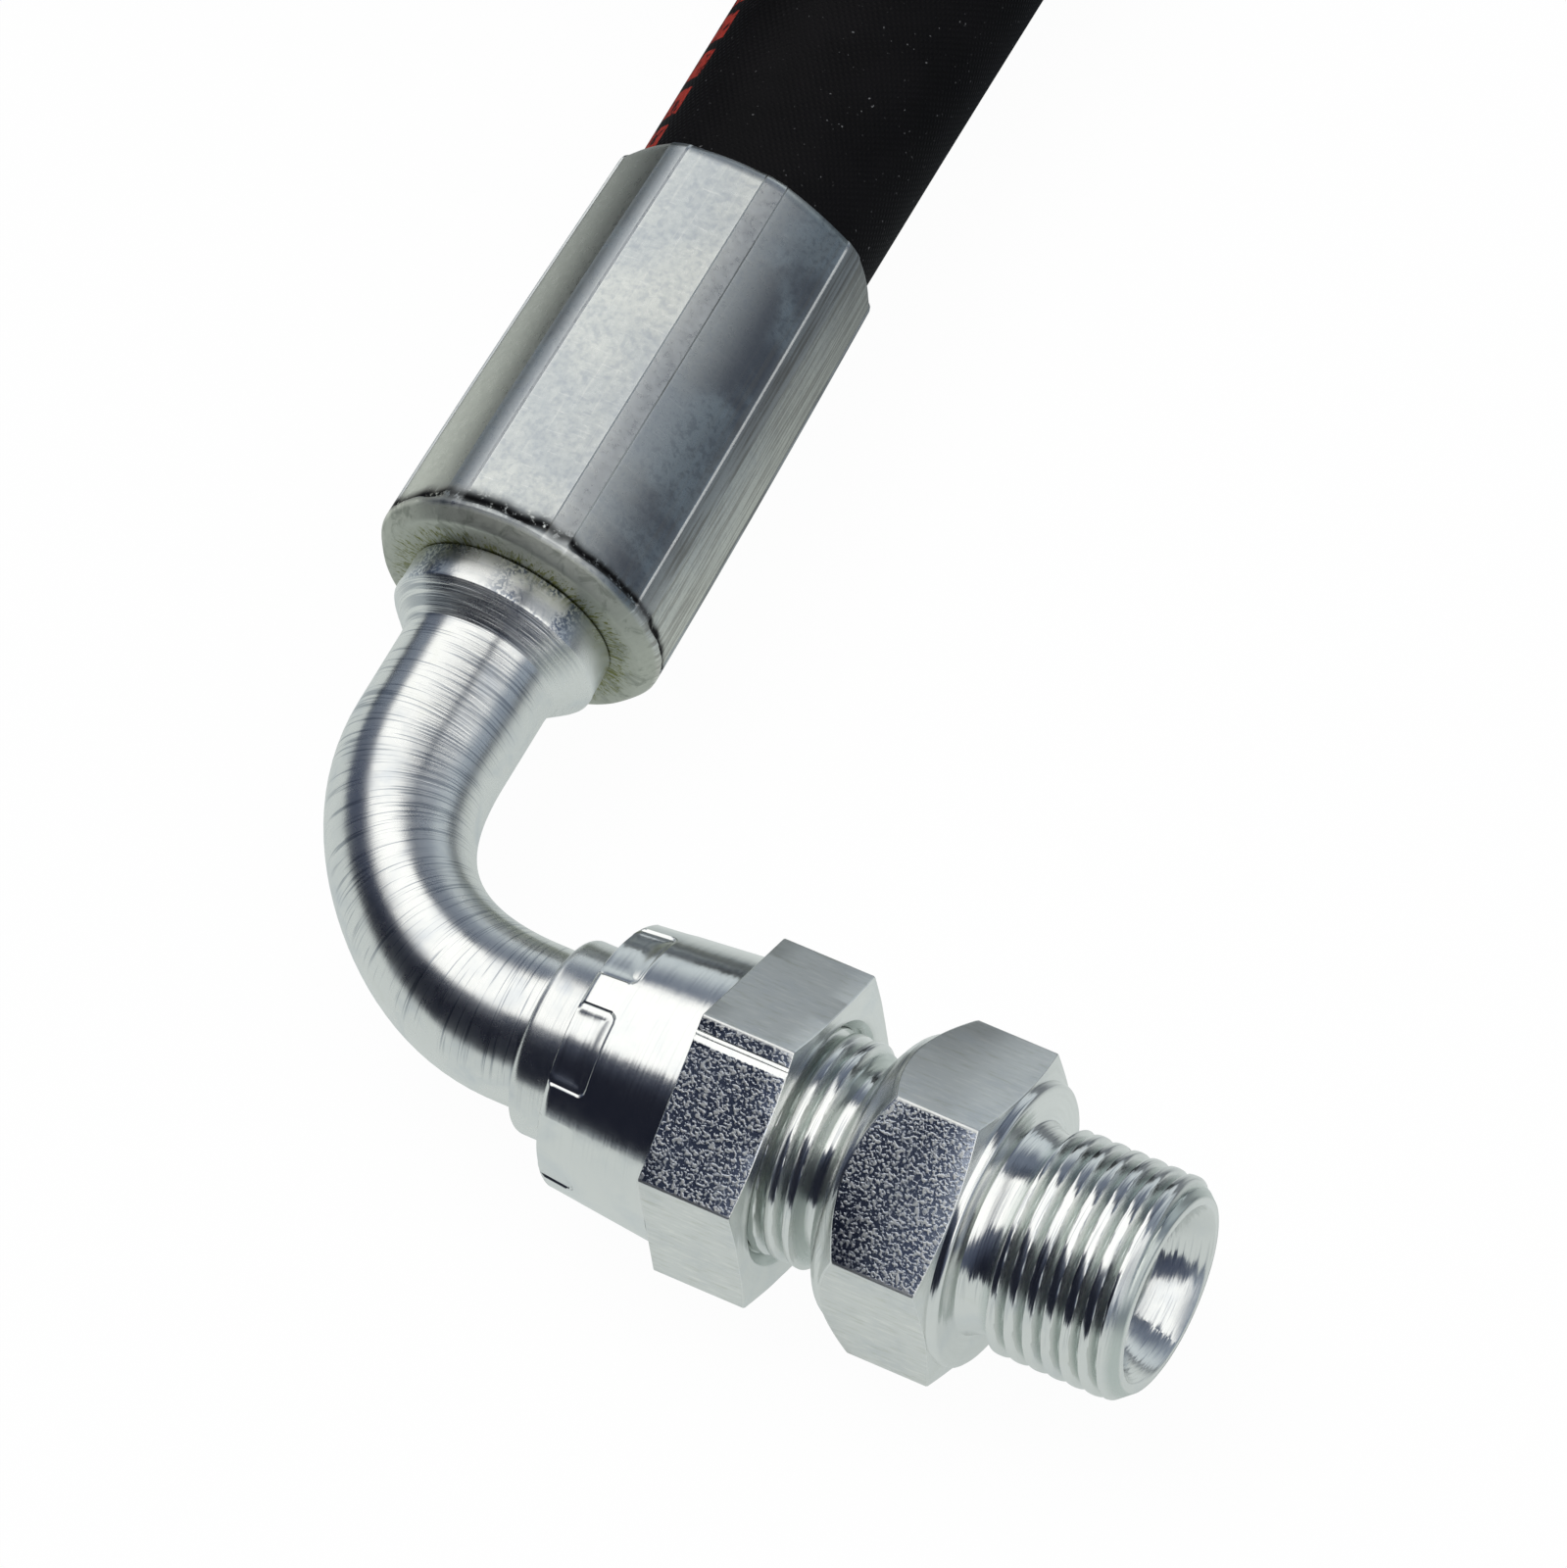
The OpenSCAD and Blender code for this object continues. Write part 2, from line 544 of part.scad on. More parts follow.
// Outline of the strap: two round ends joined by a straight stretch
module strap_outline(r) {
    for (side = [-1, 1]) translate([0, side * tie_half_gap]) circle(r = r);
    translate([-r, -tie_half_gap]) square([2 * r, 2 * tie_half_gap]);
}
module coil_tie() color(nylon) at_hose_mouth() translate(coil_centre) rotate([0, 0, tie_angle])
    translate([coil_r, 0, tie_half_gap]) rotate([90, 0, 0]) {
        translate([0, 0, -tie_width / 2]) linear_extrude(tie_width) difference() {
            strap_outline(hose_r + tie_room + tie_thick);
            strap_outline(hose_r + tie_room);
        }
        translate([hose_r + tie_room + tie_thick / 2, -tie_head_len / 2, -tie_width / 2 - tie_head_rim])
            cube([tie_head_h + tie_thick / 2, tie_head_len, tie_width + 2 * tie_head_rim]);
    }

elbow_stem();
ferrule();
near_inner_tube();
near_inner_braid();
near_braid_interlayer();
near_outer_braid();
near_hose_cover();
swivel_nut();
port_adapter();
hose_run();
hose_coil();
hose_tail();
coil_tie();
far_stem();
far_ferrule();
far_inner_tube();
far_inner_braid();
far_braid_interlayer();
far_outer_braid();
far_hose_cover();
far_swivel_nut();
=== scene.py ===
"""Looks of the hydraulic hose assembly: zinc-plated elbow, nut, adapter and ferrule, rubber hose.

Shapes are worked out in millimetres in the row frame and scaled to metres as each mesh is made.
Turned pieces are closed skins: rings of points round an axis, joined one to the next.
"""
import math

import bpy
import numpy as np
from mathutils import Matrix, Vector


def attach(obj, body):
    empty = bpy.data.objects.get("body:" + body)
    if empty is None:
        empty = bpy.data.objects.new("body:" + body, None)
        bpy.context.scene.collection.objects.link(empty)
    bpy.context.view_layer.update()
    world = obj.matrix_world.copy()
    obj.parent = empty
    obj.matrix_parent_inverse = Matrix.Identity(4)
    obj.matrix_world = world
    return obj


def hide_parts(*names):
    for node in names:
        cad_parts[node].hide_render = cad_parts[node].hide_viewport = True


MM = 0.001
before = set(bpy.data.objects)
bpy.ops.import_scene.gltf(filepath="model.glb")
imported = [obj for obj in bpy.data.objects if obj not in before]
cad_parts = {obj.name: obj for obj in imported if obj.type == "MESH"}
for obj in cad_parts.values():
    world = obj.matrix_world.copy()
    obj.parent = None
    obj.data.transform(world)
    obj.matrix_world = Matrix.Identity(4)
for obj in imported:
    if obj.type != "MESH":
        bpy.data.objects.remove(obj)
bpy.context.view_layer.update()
rng = np.random.default_rng(7)

# ---- sizes, in mm
THREAD_R, PITCH = 10.4775, 1.8143
FLAT_R = 13.5
CORNER_R = FLAT_R / math.cos(math.radians(30))
CORNER_ROUND = 0.34
TUBE_R, BORE_R = 7.4, 5.0
BEND_R, BEND_SQUASH = 21.0, 0.95
BEND_LEN = BEND_R * math.pi / 2
LEG_SWIVEL, LEG_HOSE, SHOULDER_LEN = 24.0, 28.8, 7.2
SHOULDER_R = 9.85
COLLAR_R, COLLAR_LEN = 9.1, 6.2
GROOVE_R, FLANGE_Z, FLANGE_R, NOSE_Z = 7.9, 9.2, 8.9, 12.0
NOSE_BASE_R, NOSE_TIP_R, STEM_LEN = 8.6, 6.1, 16.33
NUT_REAR, NUT_LEN, NUT_HEX_LEN = 4.6, 20.9, 9.3
NUT_HEX_Z = NUT_LEN - NUT_HEX_LEN
SKIRT_RIM_R, SKIRT_BASE_R = 12.3, 13.45
WINDOWS, WINDOW_ARC, WINDOW_LEN, WINDOW_DEPTH, WINDOW_PHASE = 7, 36.5, 3.9, 0.45, 26.5
MINOR_R, UNDERCUT_R, COUNTERSINK_R, COUNTERSINK_LEN = 9.37, 10.9, 11.55, 1.1
SWIVEL_GAP, SWIVEL_PLAY, THREAD_GAP = 0.08, 0.15, 0.06
MALE_LEN, RELIEF_R, ADAPTER_LEN, TIP_CHAMFER = 13.0, 8.6, 44.3, 1.6
HEX_Z, WASHER_Z, OUTER_Z, WASHER_R = 14.0, 28.5, 31.3, 13.3
FERRULE_LEN, FERRULE_R, MOUTH_R, LIP_LEN = 43.6, 13.95, 12.95, 3.2
JAWS, JAW_STRIP, JAW_PHASE, JAW_DEPTH, JAW_FLAT = 8, 9.5, 20.5, 0.15, 0.4
LOCK_R, LOCK_COLLAR_R, LOCK_Z, TAIL_Z, TAIL_END_Z = 7.65, 8.6, 3.3, 5.3, 40.9
BARB_R, BARB_DEPTH, BARBS = 6.5, 0.55, 8
HOSE_R, CRIMPED_R = 11.6, 11.148
LEFT_SEAM, LEFT_SEAM_WIDTH = JAW_PHASE - 360 / JAWS - 2.5, 3.4

ADAPTER_X = TIP_CHAMFER - ADAPTER_LEN
SWIVEL_X = -59.0196
CORNER_X = SWIVEL_X - LEG_SWIVEL
FERRULE_Y = LEG_HOSE + SHOULDER_LEN
MOUTH = Vector((CORNER_X, FERRULE_Y + FERRULE_LEN, 0))
FLOOR_Z = -CORNER_R

# Route of the free hose, as offsets from the near ferrule's mouth
RUN = [(0, 0, 0), (0, 20, 0), (0, 45, -0.5), (0, 70, -1.4), (0, 95, -2.2),
       (0, 110, -2.5), (0, 125, -2.7), (0, 140, -2.8)]
COIL_R, COIL_Y, COIL_Z, COIL_ARC, LAP_END = 124.0, 140.0, -2.8, 278, 395
# The tail climbs onto the coil over one angle, then lifts the far fitting clear of it
LAP_HEIGHT, LAP_CLIMB, LIFT_HEIGHT, LIFT_CLIMB = 23.3, 67, 2.0, 20
TIE_ANGLE, TIE_W, TIE_T, TIE_ROOM = 372, 7.6, 1.1, 0.08
TIE_HEAD_LEN, TIE_HEAD_H, TIE_HEAD_RIM = 12.0, 5.9, 1.0
# Fineness of the meshes: stations per turn of a thread, sides of the hose and the elbow, and the
# elbow's longest step. UV_R is the radius at which the UV round a turned piece is true.
THREAD_STEPS, HOSE_SIDES, ELBOW_SIDES, ELBOW_STEP, UV_R = 22, 64, 96, 1.1, 12.5


def ease(t):
    t = min(max(t, 0.0), 1.0)
    return t * t * (3 - 2 * t)


def lap_rise(a):
    return (LAP_HEIGHT * ease((a - COIL_ARC) / LAP_CLIMB)
            + LIFT_HEIGHT * ease((a - LAP_END) / LIFT_CLIMB + 1))


def lap_point(a):
    c, s = math.cos(math.radians(a)), math.sin(math.radians(a))
    return MOUTH + Vector((COIL_R * (c - 1), COIL_Y + COIL_R * s, COIL_Z + lap_rise(a)))


FAR_HEADING = Vector((-math.sin(math.radians(LAP_END)), math.cos(math.radians(LAP_END)), 0))
FAR_MOUTH = lap_point(LAP_END)
FAR_FACE = FAR_MOUTH + FERRULE_LEN * FAR_HEADING


def linked(name, data):
    obj = bpy.data.objects.new(name, data)
    bpy.context.scene.collection.objects.link(obj)
    return obj


# ---- camera
IMAGE_W, SENSOR_W, FOCAL_PX = 1599, 36.0, 25000
CAMERA_AT = Vector((607.0, -859.612, 1835.036))
camera_data = bpy.data.cameras.new("camera")
camera_data.sensor_width = SENSOR_W
camera_data.sensor_fit = "HORIZONTAL"
camera_data.lens = FOCAL_PX / IMAGE_W * SENSOR_W
camera_data.clip_start, camera_data.clip_end = 0.1, 20
camera = linked("camera", camera_data)
RIGHT = Vector((0.87704951, 0.47262026, -0.08610603))
UP = Vector((-0.36877795, 0.77723073, 0.5098188))
BACK = Vector((0.30787495, -0.41538232, 0.85596176))
camera.matrix_world = Matrix.Translation(CAMERA_AT * MM) @ Matrix(
    [(RIGHT[i], UP[i], BACK[i]) for i in range(3)]).to_4x4()
bpy.context.scene.camera = camera


# ---- node helpers
class Nodes:
    """Short ways to add nodes to a node tree."""

    def __init__(self, tree):
        self.tree = tree

    def node(self, kind, inputs=(), **settings):
        n = self.tree.nodes.new("ShaderNode" + kind)
        for key, value in settings.items():
            setattr(n, key, value)
        for key, value in dict(inputs).items():
            self.put(n.inputs[key], value)
        return n

    def put(self, socket, value):
        if isinstance(value, bpy.types.NodeSocket):
            self.tree.links.new(value, socket)
        elif socket.type == "RGBA":
            socket.default_value = (*value, 1)
        else:
            socket.default_value = value

    def math(self, operation, a, b=0.0, c=0.0, clamp=False):
        n = self.node("Math", {0: a, 1: b, 2: c}, operation=operation, use_clamp=clamp)
        return n.outputs[0]

    def times(self, a, b):
        return self.math("MULTIPLY", a, b)

    def plus(self, a, b, clamp=False):
        return self.math("ADD", a, b, clamp=clamp)

    def vector(self, operation, inputs, output=0):
        return self.node("VectorMath", inputs, operation=operation).outputs[output]

    def span(self, value, low, high, to_low=0.0, to_high=1.0):
        n = self.node("MapRange", {"Value": value, "From Min": low, "From Max": high,
                                   "To Min": to_low, "To Max": to_high},
                      interpolation_type="SMOOTHSTEP")
        return n.outputs["Result"]

    def coords(self, scale=(1, 1, 1), kind="UV", rotate=(0, 0, 0)):
        source = self.node("TexCoord").outputs[kind]
        mapping = self.node("Mapping", {"Vector": source, "Scale": scale, "Rotation": rotate})
        return mapping.outputs["Vector"]

    def noise(self, vector, detail=2.0, roughness=0.5, distortion=0.0):
        n = self.node("TexNoise", {"Vector": vector, "Scale": 1.0, "Detail": detail,
                                   "Roughness": roughness, "Distortion": distortion})
        return n.outputs["Fac"]

    def waves(self, vector, scale, distortion=0.0):
        n = self.node("TexWave", {"Vector": vector, "Scale": scale, "Distortion": distortion,
                                  "Detail": 1.0, "Detail Scale": 0.6})
        return n.outputs["Fac"]

    def grain(self, scale, detail=2.0, roughness=0.5, distortion=0.0):
        """Noise through the whole piece, the same in every direction; scale is per metre."""
        return self.noise(self.coords((scale, scale, scale), "Object"), detail, roughness, distortion)

    def facing(self):
        """X, Y and Z of the surface's direction."""
        return self.node("SeparateXYZ", {0: self.node("NewGeometry").outputs["Normal"]}).outputs

    def mask(self, name):
        return self.node("Attribute", attribute_name=name).outputs["Fac"]

    def mix(self, factor, a, b):
        n = self.node("Mix", data_type="RGBA")
        self.put(n.inputs[0], factor)
        self.put(n.inputs[6], a)
        self.put(n.inputs[7], b)
        return n.outputs[2]

    def streaks(self, lines, tilt):
        """Tilts the surface round a turned piece, by lines that run round it (0 to 1)."""
        normal = self.node("NewGeometry").outputs["Normal"]
        along = self.node("Tangent", direction_type="UV_MAP").outputs["Tangent"]
        around = self.vector("CROSS_PRODUCT", {0: normal, 1: along})
        amount = self.times(self.math("SUBTRACT", lines, 0.5), tilt)
        shift = self.vector("SCALE", {0: around, "Scale": amount})
        return self.vector("NORMALIZE", {0: self.vector("ADD", {0: normal, 1: shift})})

    def bump(self, height, distance_mm, normal=None):
        n = self.node("Bump", {"Height": height, "Distance": distance_mm * MM, "Strength": 1.0})
        if normal is not None:
            self.put(n.inputs["Normal"], normal)
        return n.outputs["Normal"]


class Shader(Nodes):
    """A material of one Principled surface."""

    def __init__(self, name, **values):
        self.material = bpy.data.materials.new(name)
        self.material.use_nodes = True
        super().__init__(self.material.node_tree)
        self.bsdf = self.tree.nodes["Principled BSDF"]
        self.surface(**values)

    def surface(self, **values):
        for key, value in values.items():
            self.put(self.bsdf.inputs[key.replace("_", " ")], value)


# ---- mesh helpers
def placed(origin, axis, turn=0.0):
    """A function from (r, angle, z) round an axis to points, angle 0 up and right-handed."""
    axis = np.array(axis, float)
    up = np.array((0.0, 0.0, 1.0))
    side = np.cross(axis, up)
    origin = np.array(origin, float)

    def place(r, phi, z):
        a = np.radians(phi + turn)
        return (origin + z[..., None] * axis
                + (r * np.cos(a))[..., None] * up + (r * np.sin(a))[..., None] * side)
    return place


def skin(name, points, along, around, closed=True, sharp=35, masks=None):
    """A mesh over rings of points in mm. along gives one UV value per ring and around one per
    point of a ring, in mm, each with one more at its end, so that the seams stay continuous."""
    rows, cols = points.shape[:2]
    along = np.broadcast_to(np.reshape(along, (-1, 1)), (rows + 1, cols + 1))
    around = np.broadcast_to(around, (rows + 1, cols + 1))
    count = rows if closed else rows - 1
    i, j = np.meshgrid(np.arange(count), np.arange(cols), indexing="ij")
    corners = [(i, j), (i, j + 1), (i + 1, j + 1), (i + 1, j)]
    faces = np.stack([(a % rows) * cols + b % cols for a, b in corners], -1).reshape(-1, 4)
    uv = np.stack([np.stack([along[a, b], around[a, b]], -1) for a, b in corners], -2)
    verts = points.reshape(-1, 3) * MM
    tri = verts[faces[:, (0, 1, 2, 0, 2, 3)]].reshape(-1, 3, 3)
    volume = np.einsum("ij,ij->i", tri[:, 0], np.cross(tri[:, 1], tri[:, 2])).sum()
    way = -1 if volume < 0 else 1
    uv = uv.reshape(-1, 4, 2)[:, ::way]
    polygons = faces[:, ::way].tolist()
    if not closed:
        ring = np.arange(cols)
        polygons += [ring[::-way].tolist(), (ring + (rows - 1) * cols)[::way].tolist()]
    mesh = bpy.data.meshes.new(name)
    mesh.from_pydata(verts.tolist(), [], polygons)
    layer = mesh.uv_layers.new(name="UVMap")
    flat = np.zeros(len(mesh.loops) * 2)
    flat[:uv.size] = uv.ravel()
    layer.data.foreach_set("uv", flat)
    for key, values in (masks or {}).items():
        attribute = mesh.attributes.new(key, "FLOAT", "POINT")
        attribute.data.foreach_set("value", np.broadcast_to(values, (rows, cols)).ravel())
    mesh.shade_smooth()
    mesh.set_sharp_from_angle(angle=math.radians(sharp))
    mesh.validate()
    return linked(name, mesh)


def grid(stations, phi):
    """Heights and radii of the stations, as a row for each and a column per angle."""
    return [np.array([np.broadcast_to(s[k], phi.shape) for s in stations], float) for k in (0, 1)]


def turned(name, place, phi, stations, sharp=35, masks=None):
    """A closed turned piece: stations are (z, r) round its outline, each one number or one
    value per angle in phi."""
    z, r = grid(stations, phi)
    mean = np.stack([z.mean(1), r.mean(1)], -1)
    steps = np.linalg.norm(np.roll(mean, -1, 0) - mean, axis=1)
    along = np.concatenate([[0], np.cumsum(steps)])
    around = np.append(phi, phi[0] + 360) * math.radians(UV_R)
    points = place(r, np.broadcast_to(phi, r.shape), z)
    return skin(name, points, along, around, sharp=sharp, masks=masks)


def soften(points, radius=0.15, steps=3, least=14):
    """Rounds the corners of a closed outline of (z, r) points."""
    out = []
    for k, b in enumerate(points):
        a, b, c = (np.array(p, float) for p in (points[k - 1], b, points[(k + 1) % len(points)]))
        into, away = a - b, c - b
        la, lc = np.linalg.norm(into), np.linalg.norm(away)
        opening = math.acos(float(np.clip(into @ away / la / lc, -1, 1)))
        if math.pi - opening < math.radians(least):
            out.append(tuple(b))
            continue
        cut = min(radius / math.tan(opening / 2), la * 0.4, lc * 0.4)
        p, q = b + into / la * cut, b + away / lc * cut
        out += [tuple((1 - t) ** 2 * p + 2 * t * (1 - t) * b + t * t * q)
                for t in np.linspace(0, 1, steps + 1)]
    return out


def angles(step, extra=()):
    """Angles round a turn from the underside: even steps, and finer ones where needed."""
    fine = (np.array(list(extra), float) + 180) % 360 - 180
    every = np.unique(np.round(np.concatenate([np.arange(-180, 180, step), fine]), 3))
    keep = np.append(np.diff(every) > 0.12, True)
    return every[keep]


def smooth(x, low, high):
    t = np.clip((x - low) / (high - low), 0, 1)
    return t * t * (3 - 2 * t)


def between(x, a, b, c, d):
    """1 from b to c, easing to 0 at a and at d."""
    return smooth(x, a, b) * smooth(-x, -d, -c)


def hump(x, middle, width):
    return np.exp(-((x - middle) / width) ** 2)


def from_nearest(phi, phase, count):
    """Degrees from the nearest of so many even places round a turn, the first at phase."""
    step = 360 / count
    return (phi - phase + step / 2) % step - step / 2


def hexagon(phi):
    """Radius of the hexagon with rounded corners, which stand at 0, 60 ... degrees."""
    flat = (phi % 60) - 30
    r = FLAT_R / np.cos(np.radians(flat))
    centre = (FLAT_R - CORNER_ROUND) / math.cos(math.radians(30))
    off = np.radians(30 - np.abs(flat))
    across = centre * np.sin(off)
    arc = centre * np.cos(off) + np.sqrt(np.maximum(CORNER_ROUND ** 2 - across ** 2, 0))
    reach = math.atan(CORNER_ROUND / 2 / (centre + CORNER_ROUND * math.cos(math.radians(30))))
    return np.where(off < reach, arc, r)


CORNER_STEPS = (-1.3, -0.65, -0.43, -0.22, 0, 0.22, 0.43, 0.65, 1.3)
CORNERS = [60 * k + d for k in range(6) for d in CORNER_STEPS]


def whitworth(turns):
    """Depth below the crest of the 55 degree thread, in mm: broad, slightly domed crests,
    straight flanks and rounded roots."""
    d = np.abs((turns + 0.5) % 1 - 0.5) * PITCH
    crest, dome, root = 0.42, 0.05, 0.1
    steep = 1 / math.tan(math.radians(27.5))
    into_root = d - (PITCH / 2 - root)
    flank = dome + (np.minimum(d, PITCH / 2 - root) - crest) * steep
    rounded = np.where(into_root > 0, steep * (into_root - into_root ** 2 / (2 * root)), 0)
    return np.where(d < crest, dome * (d / crest) ** 2, flank + rounded)


def thread_stations(x0, z_from, z_to, phi, limit, inner=False):
    """Stations of a right-hand thread. x0 is where z is 0 in the row frame, so that mating
    threads mesh, and limit(z) is the radius that the thread is cut to."""
    steps = int(abs(z_to - z_from) / PITCH * THREAD_STEPS)
    stations = []
    for z in np.linspace(z_from, z_to, steps + 1):
        r = THREAD_R - whitworth((x0 + z) / PITCH - phi / 360)
        if inner:
            r = np.maximum(r + THREAD_GAP, limit(z))
        else:
            r = np.minimum(r, limit(z))
        stations.append((z, r))
    return stations


def finish_piece(piece, shader, slot, body, *nodes):
    piece.data.materials.append(shader.material)
    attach(piece, body)
    if nodes:
        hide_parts(*nodes)
    return piece


# ---- materials
ZINC = (0.79, 0.80, 0.785)
ZINC_BLUE = (0.60, 0.65, 0.71)
STAIN = (0.60, 0.61, 0.52)
ROOT_SHADE_GREEN = (0.54, 0.60, 0.57)
LINE_SHADE_COLOUR = (0.30, 0.33, 0.37)
PIT_BLUE = (0.12, 0.16, 0.24)
VALLEY_SHADE_BLUE = (0.40, 0.46, 0.58)
SCUFFED = (0.98, 0.97, 0.93)


def zinc(name, brush, cut, line_shade, blotch, gloss, drag):
    """Bright zinc plate, turned on a lathe. brush is how far the turning lines drag the surface
    sideways, cut how deep they are and the next argument how dark their painted shade is, blotch
    how uneven the plating is and drag how much the lines stretch a reflection. Masks mark what is
    less brushed (calm), hexagon flats (satin), the rough forged flats (rough), thread roots (root),
    pitted plating (pitted) and deeply turned zones (deep), whose lines get more painted shade."""
    s = Shader(name, Metallic=1.0, Roughness=gloss, Anisotropic=drag)
    s.surface(Tangent=s.node("Tangent", direction_type="UV_MAP").outputs["Tangent"])
    fine = s.noise(s.coords((4.2, 0.09, 1)), 2.0, 0.6)
    coarse = s.noise(s.coords((0.8, 0.05, 1)), 2.0, 0.6)
    cloud = s.grain(220, 4.0, 0.6, 0.4)
    speck = s.grain(1500, 3.0, 0.7)
    grains = s.grain(3300, 1.0, 0.5, 0.4)
    dots = s.span(grains, 0.44, 0.68)
    scuff = s.noise(s.coords((0.35, 2.4, 1), rotate=(0, 0, math.radians(35))), 3.0, 0.7)
    satin, rough, root, calm = (s.mask(m) for m in ("satin", "rough", "root", "calm"))
    flats = s.plus(satin, rough, clamp=True)
    turned_only = s.math("SUBTRACT", 1.0, s.math("MAXIMUM", flats, calm), clamp=True)
    valley_shade = s.times(rough, s.math("SUBTRACT", 1.0, dots))
    # colour: bluish clouds, a warmer stain, painted shade in the turning lines on faces that look up,
    # scuffed flats, pits, painted greenish shade in the thread roots and navy painted shade between
    # the rough flats' dots
    colour = s.mix(s.span(cloud, 0.45, 0.8, 0, blotch), ZINC, ZINC_BLUE)
    colour = s.mix(s.span(cloud, 0.25, 0.42, 0.35 * blotch, 0), colour, STAIN)
    # painted shade: the turning lines are darkened only on faces that look up, and more in the deep zones
    facing_up = s.span(s.facing()[2], 0.1, 0.6)
    line_shade_pattern = s.math("MULTIPLY_ADD", s.mask("deep"), -0.08, fine)
    wear_and_shade = s.times(s.span(line_shade_pattern, 0.36, 0.47, line_shade, 0), s.times(facing_up, turned_only))
    colour = s.mix(wear_and_shade, colour, LINE_SHADE_COLOUR)
    colour = s.mix(s.times(s.span(scuff, 0.5, 0.7, 0, 0.5), satin), colour, SCUFFED)
    colour = s.mix(s.times(s.span(scuff, 0.3, 0.46, 0.5, 0), satin), colour, STAIN)
    pits = s.times(s.span(grains, 0.4, 0.56), s.span(cloud, 0.36, 0.5))
    pits = s.times(pits, s.mask("pitted"))
    colour = s.mix(s.times(pits, 0.9), colour, PIT_BLUE)
    # painted shade, greenish, in the thread roots
    colour = s.mix(s.times(root, 0.7), colour, ROOT_SHADE_GREEN)
    # navy painted shade in the valleys between the rough flats' raised dots
    colour = s.mix(s.times(valley_shade, 0.85), colour, VALLEY_SHADE_BLUE)
    # roughness: uneven plate, satin flats, duller dots on the rough ones and thread roots
    base = s.span(cloud, 0.3, 0.75, gloss * 0.8, gloss * 1.3)
    base = s.plus(base, s.times(satin, 0.24))
    base = s.plus(base, s.times(s.times(rough, dots), 0.3))
    base = s.plus(base, s.times(root, 0.12))
    rough_plate = s.plus(base, s.times(speck, 0.08))
    # relief: turning lines, faint plating texture, and the forged flats' dots
    lines = s.plus(s.times(fine, 0.85), s.times(coarse, 0.15))
    normal = s.streaks(lines, s.times(turned_only, brush))
    depth = s.times(turned_only, s.math("MULTIPLY_ADD", s.mask("deep"), 2.5, cut))
    normal = s.bump(s.times(s.math("SUBTRACT", fine, 0.5), depth), 0.03, normal=normal)
    grain = s.plus(0.003, s.times(s.plus(satin, s.mask("pitted")), 0.004))
    normal = s.bump(s.times(speck, s.times(grain, 100.0)), 0.01, normal=normal)
    normal = s.bump(s.times(dots, rough), 0.016, normal=normal)
    s.surface(Base_Color=colour, Roughness=rough_plate, Normal=normal)
    return s


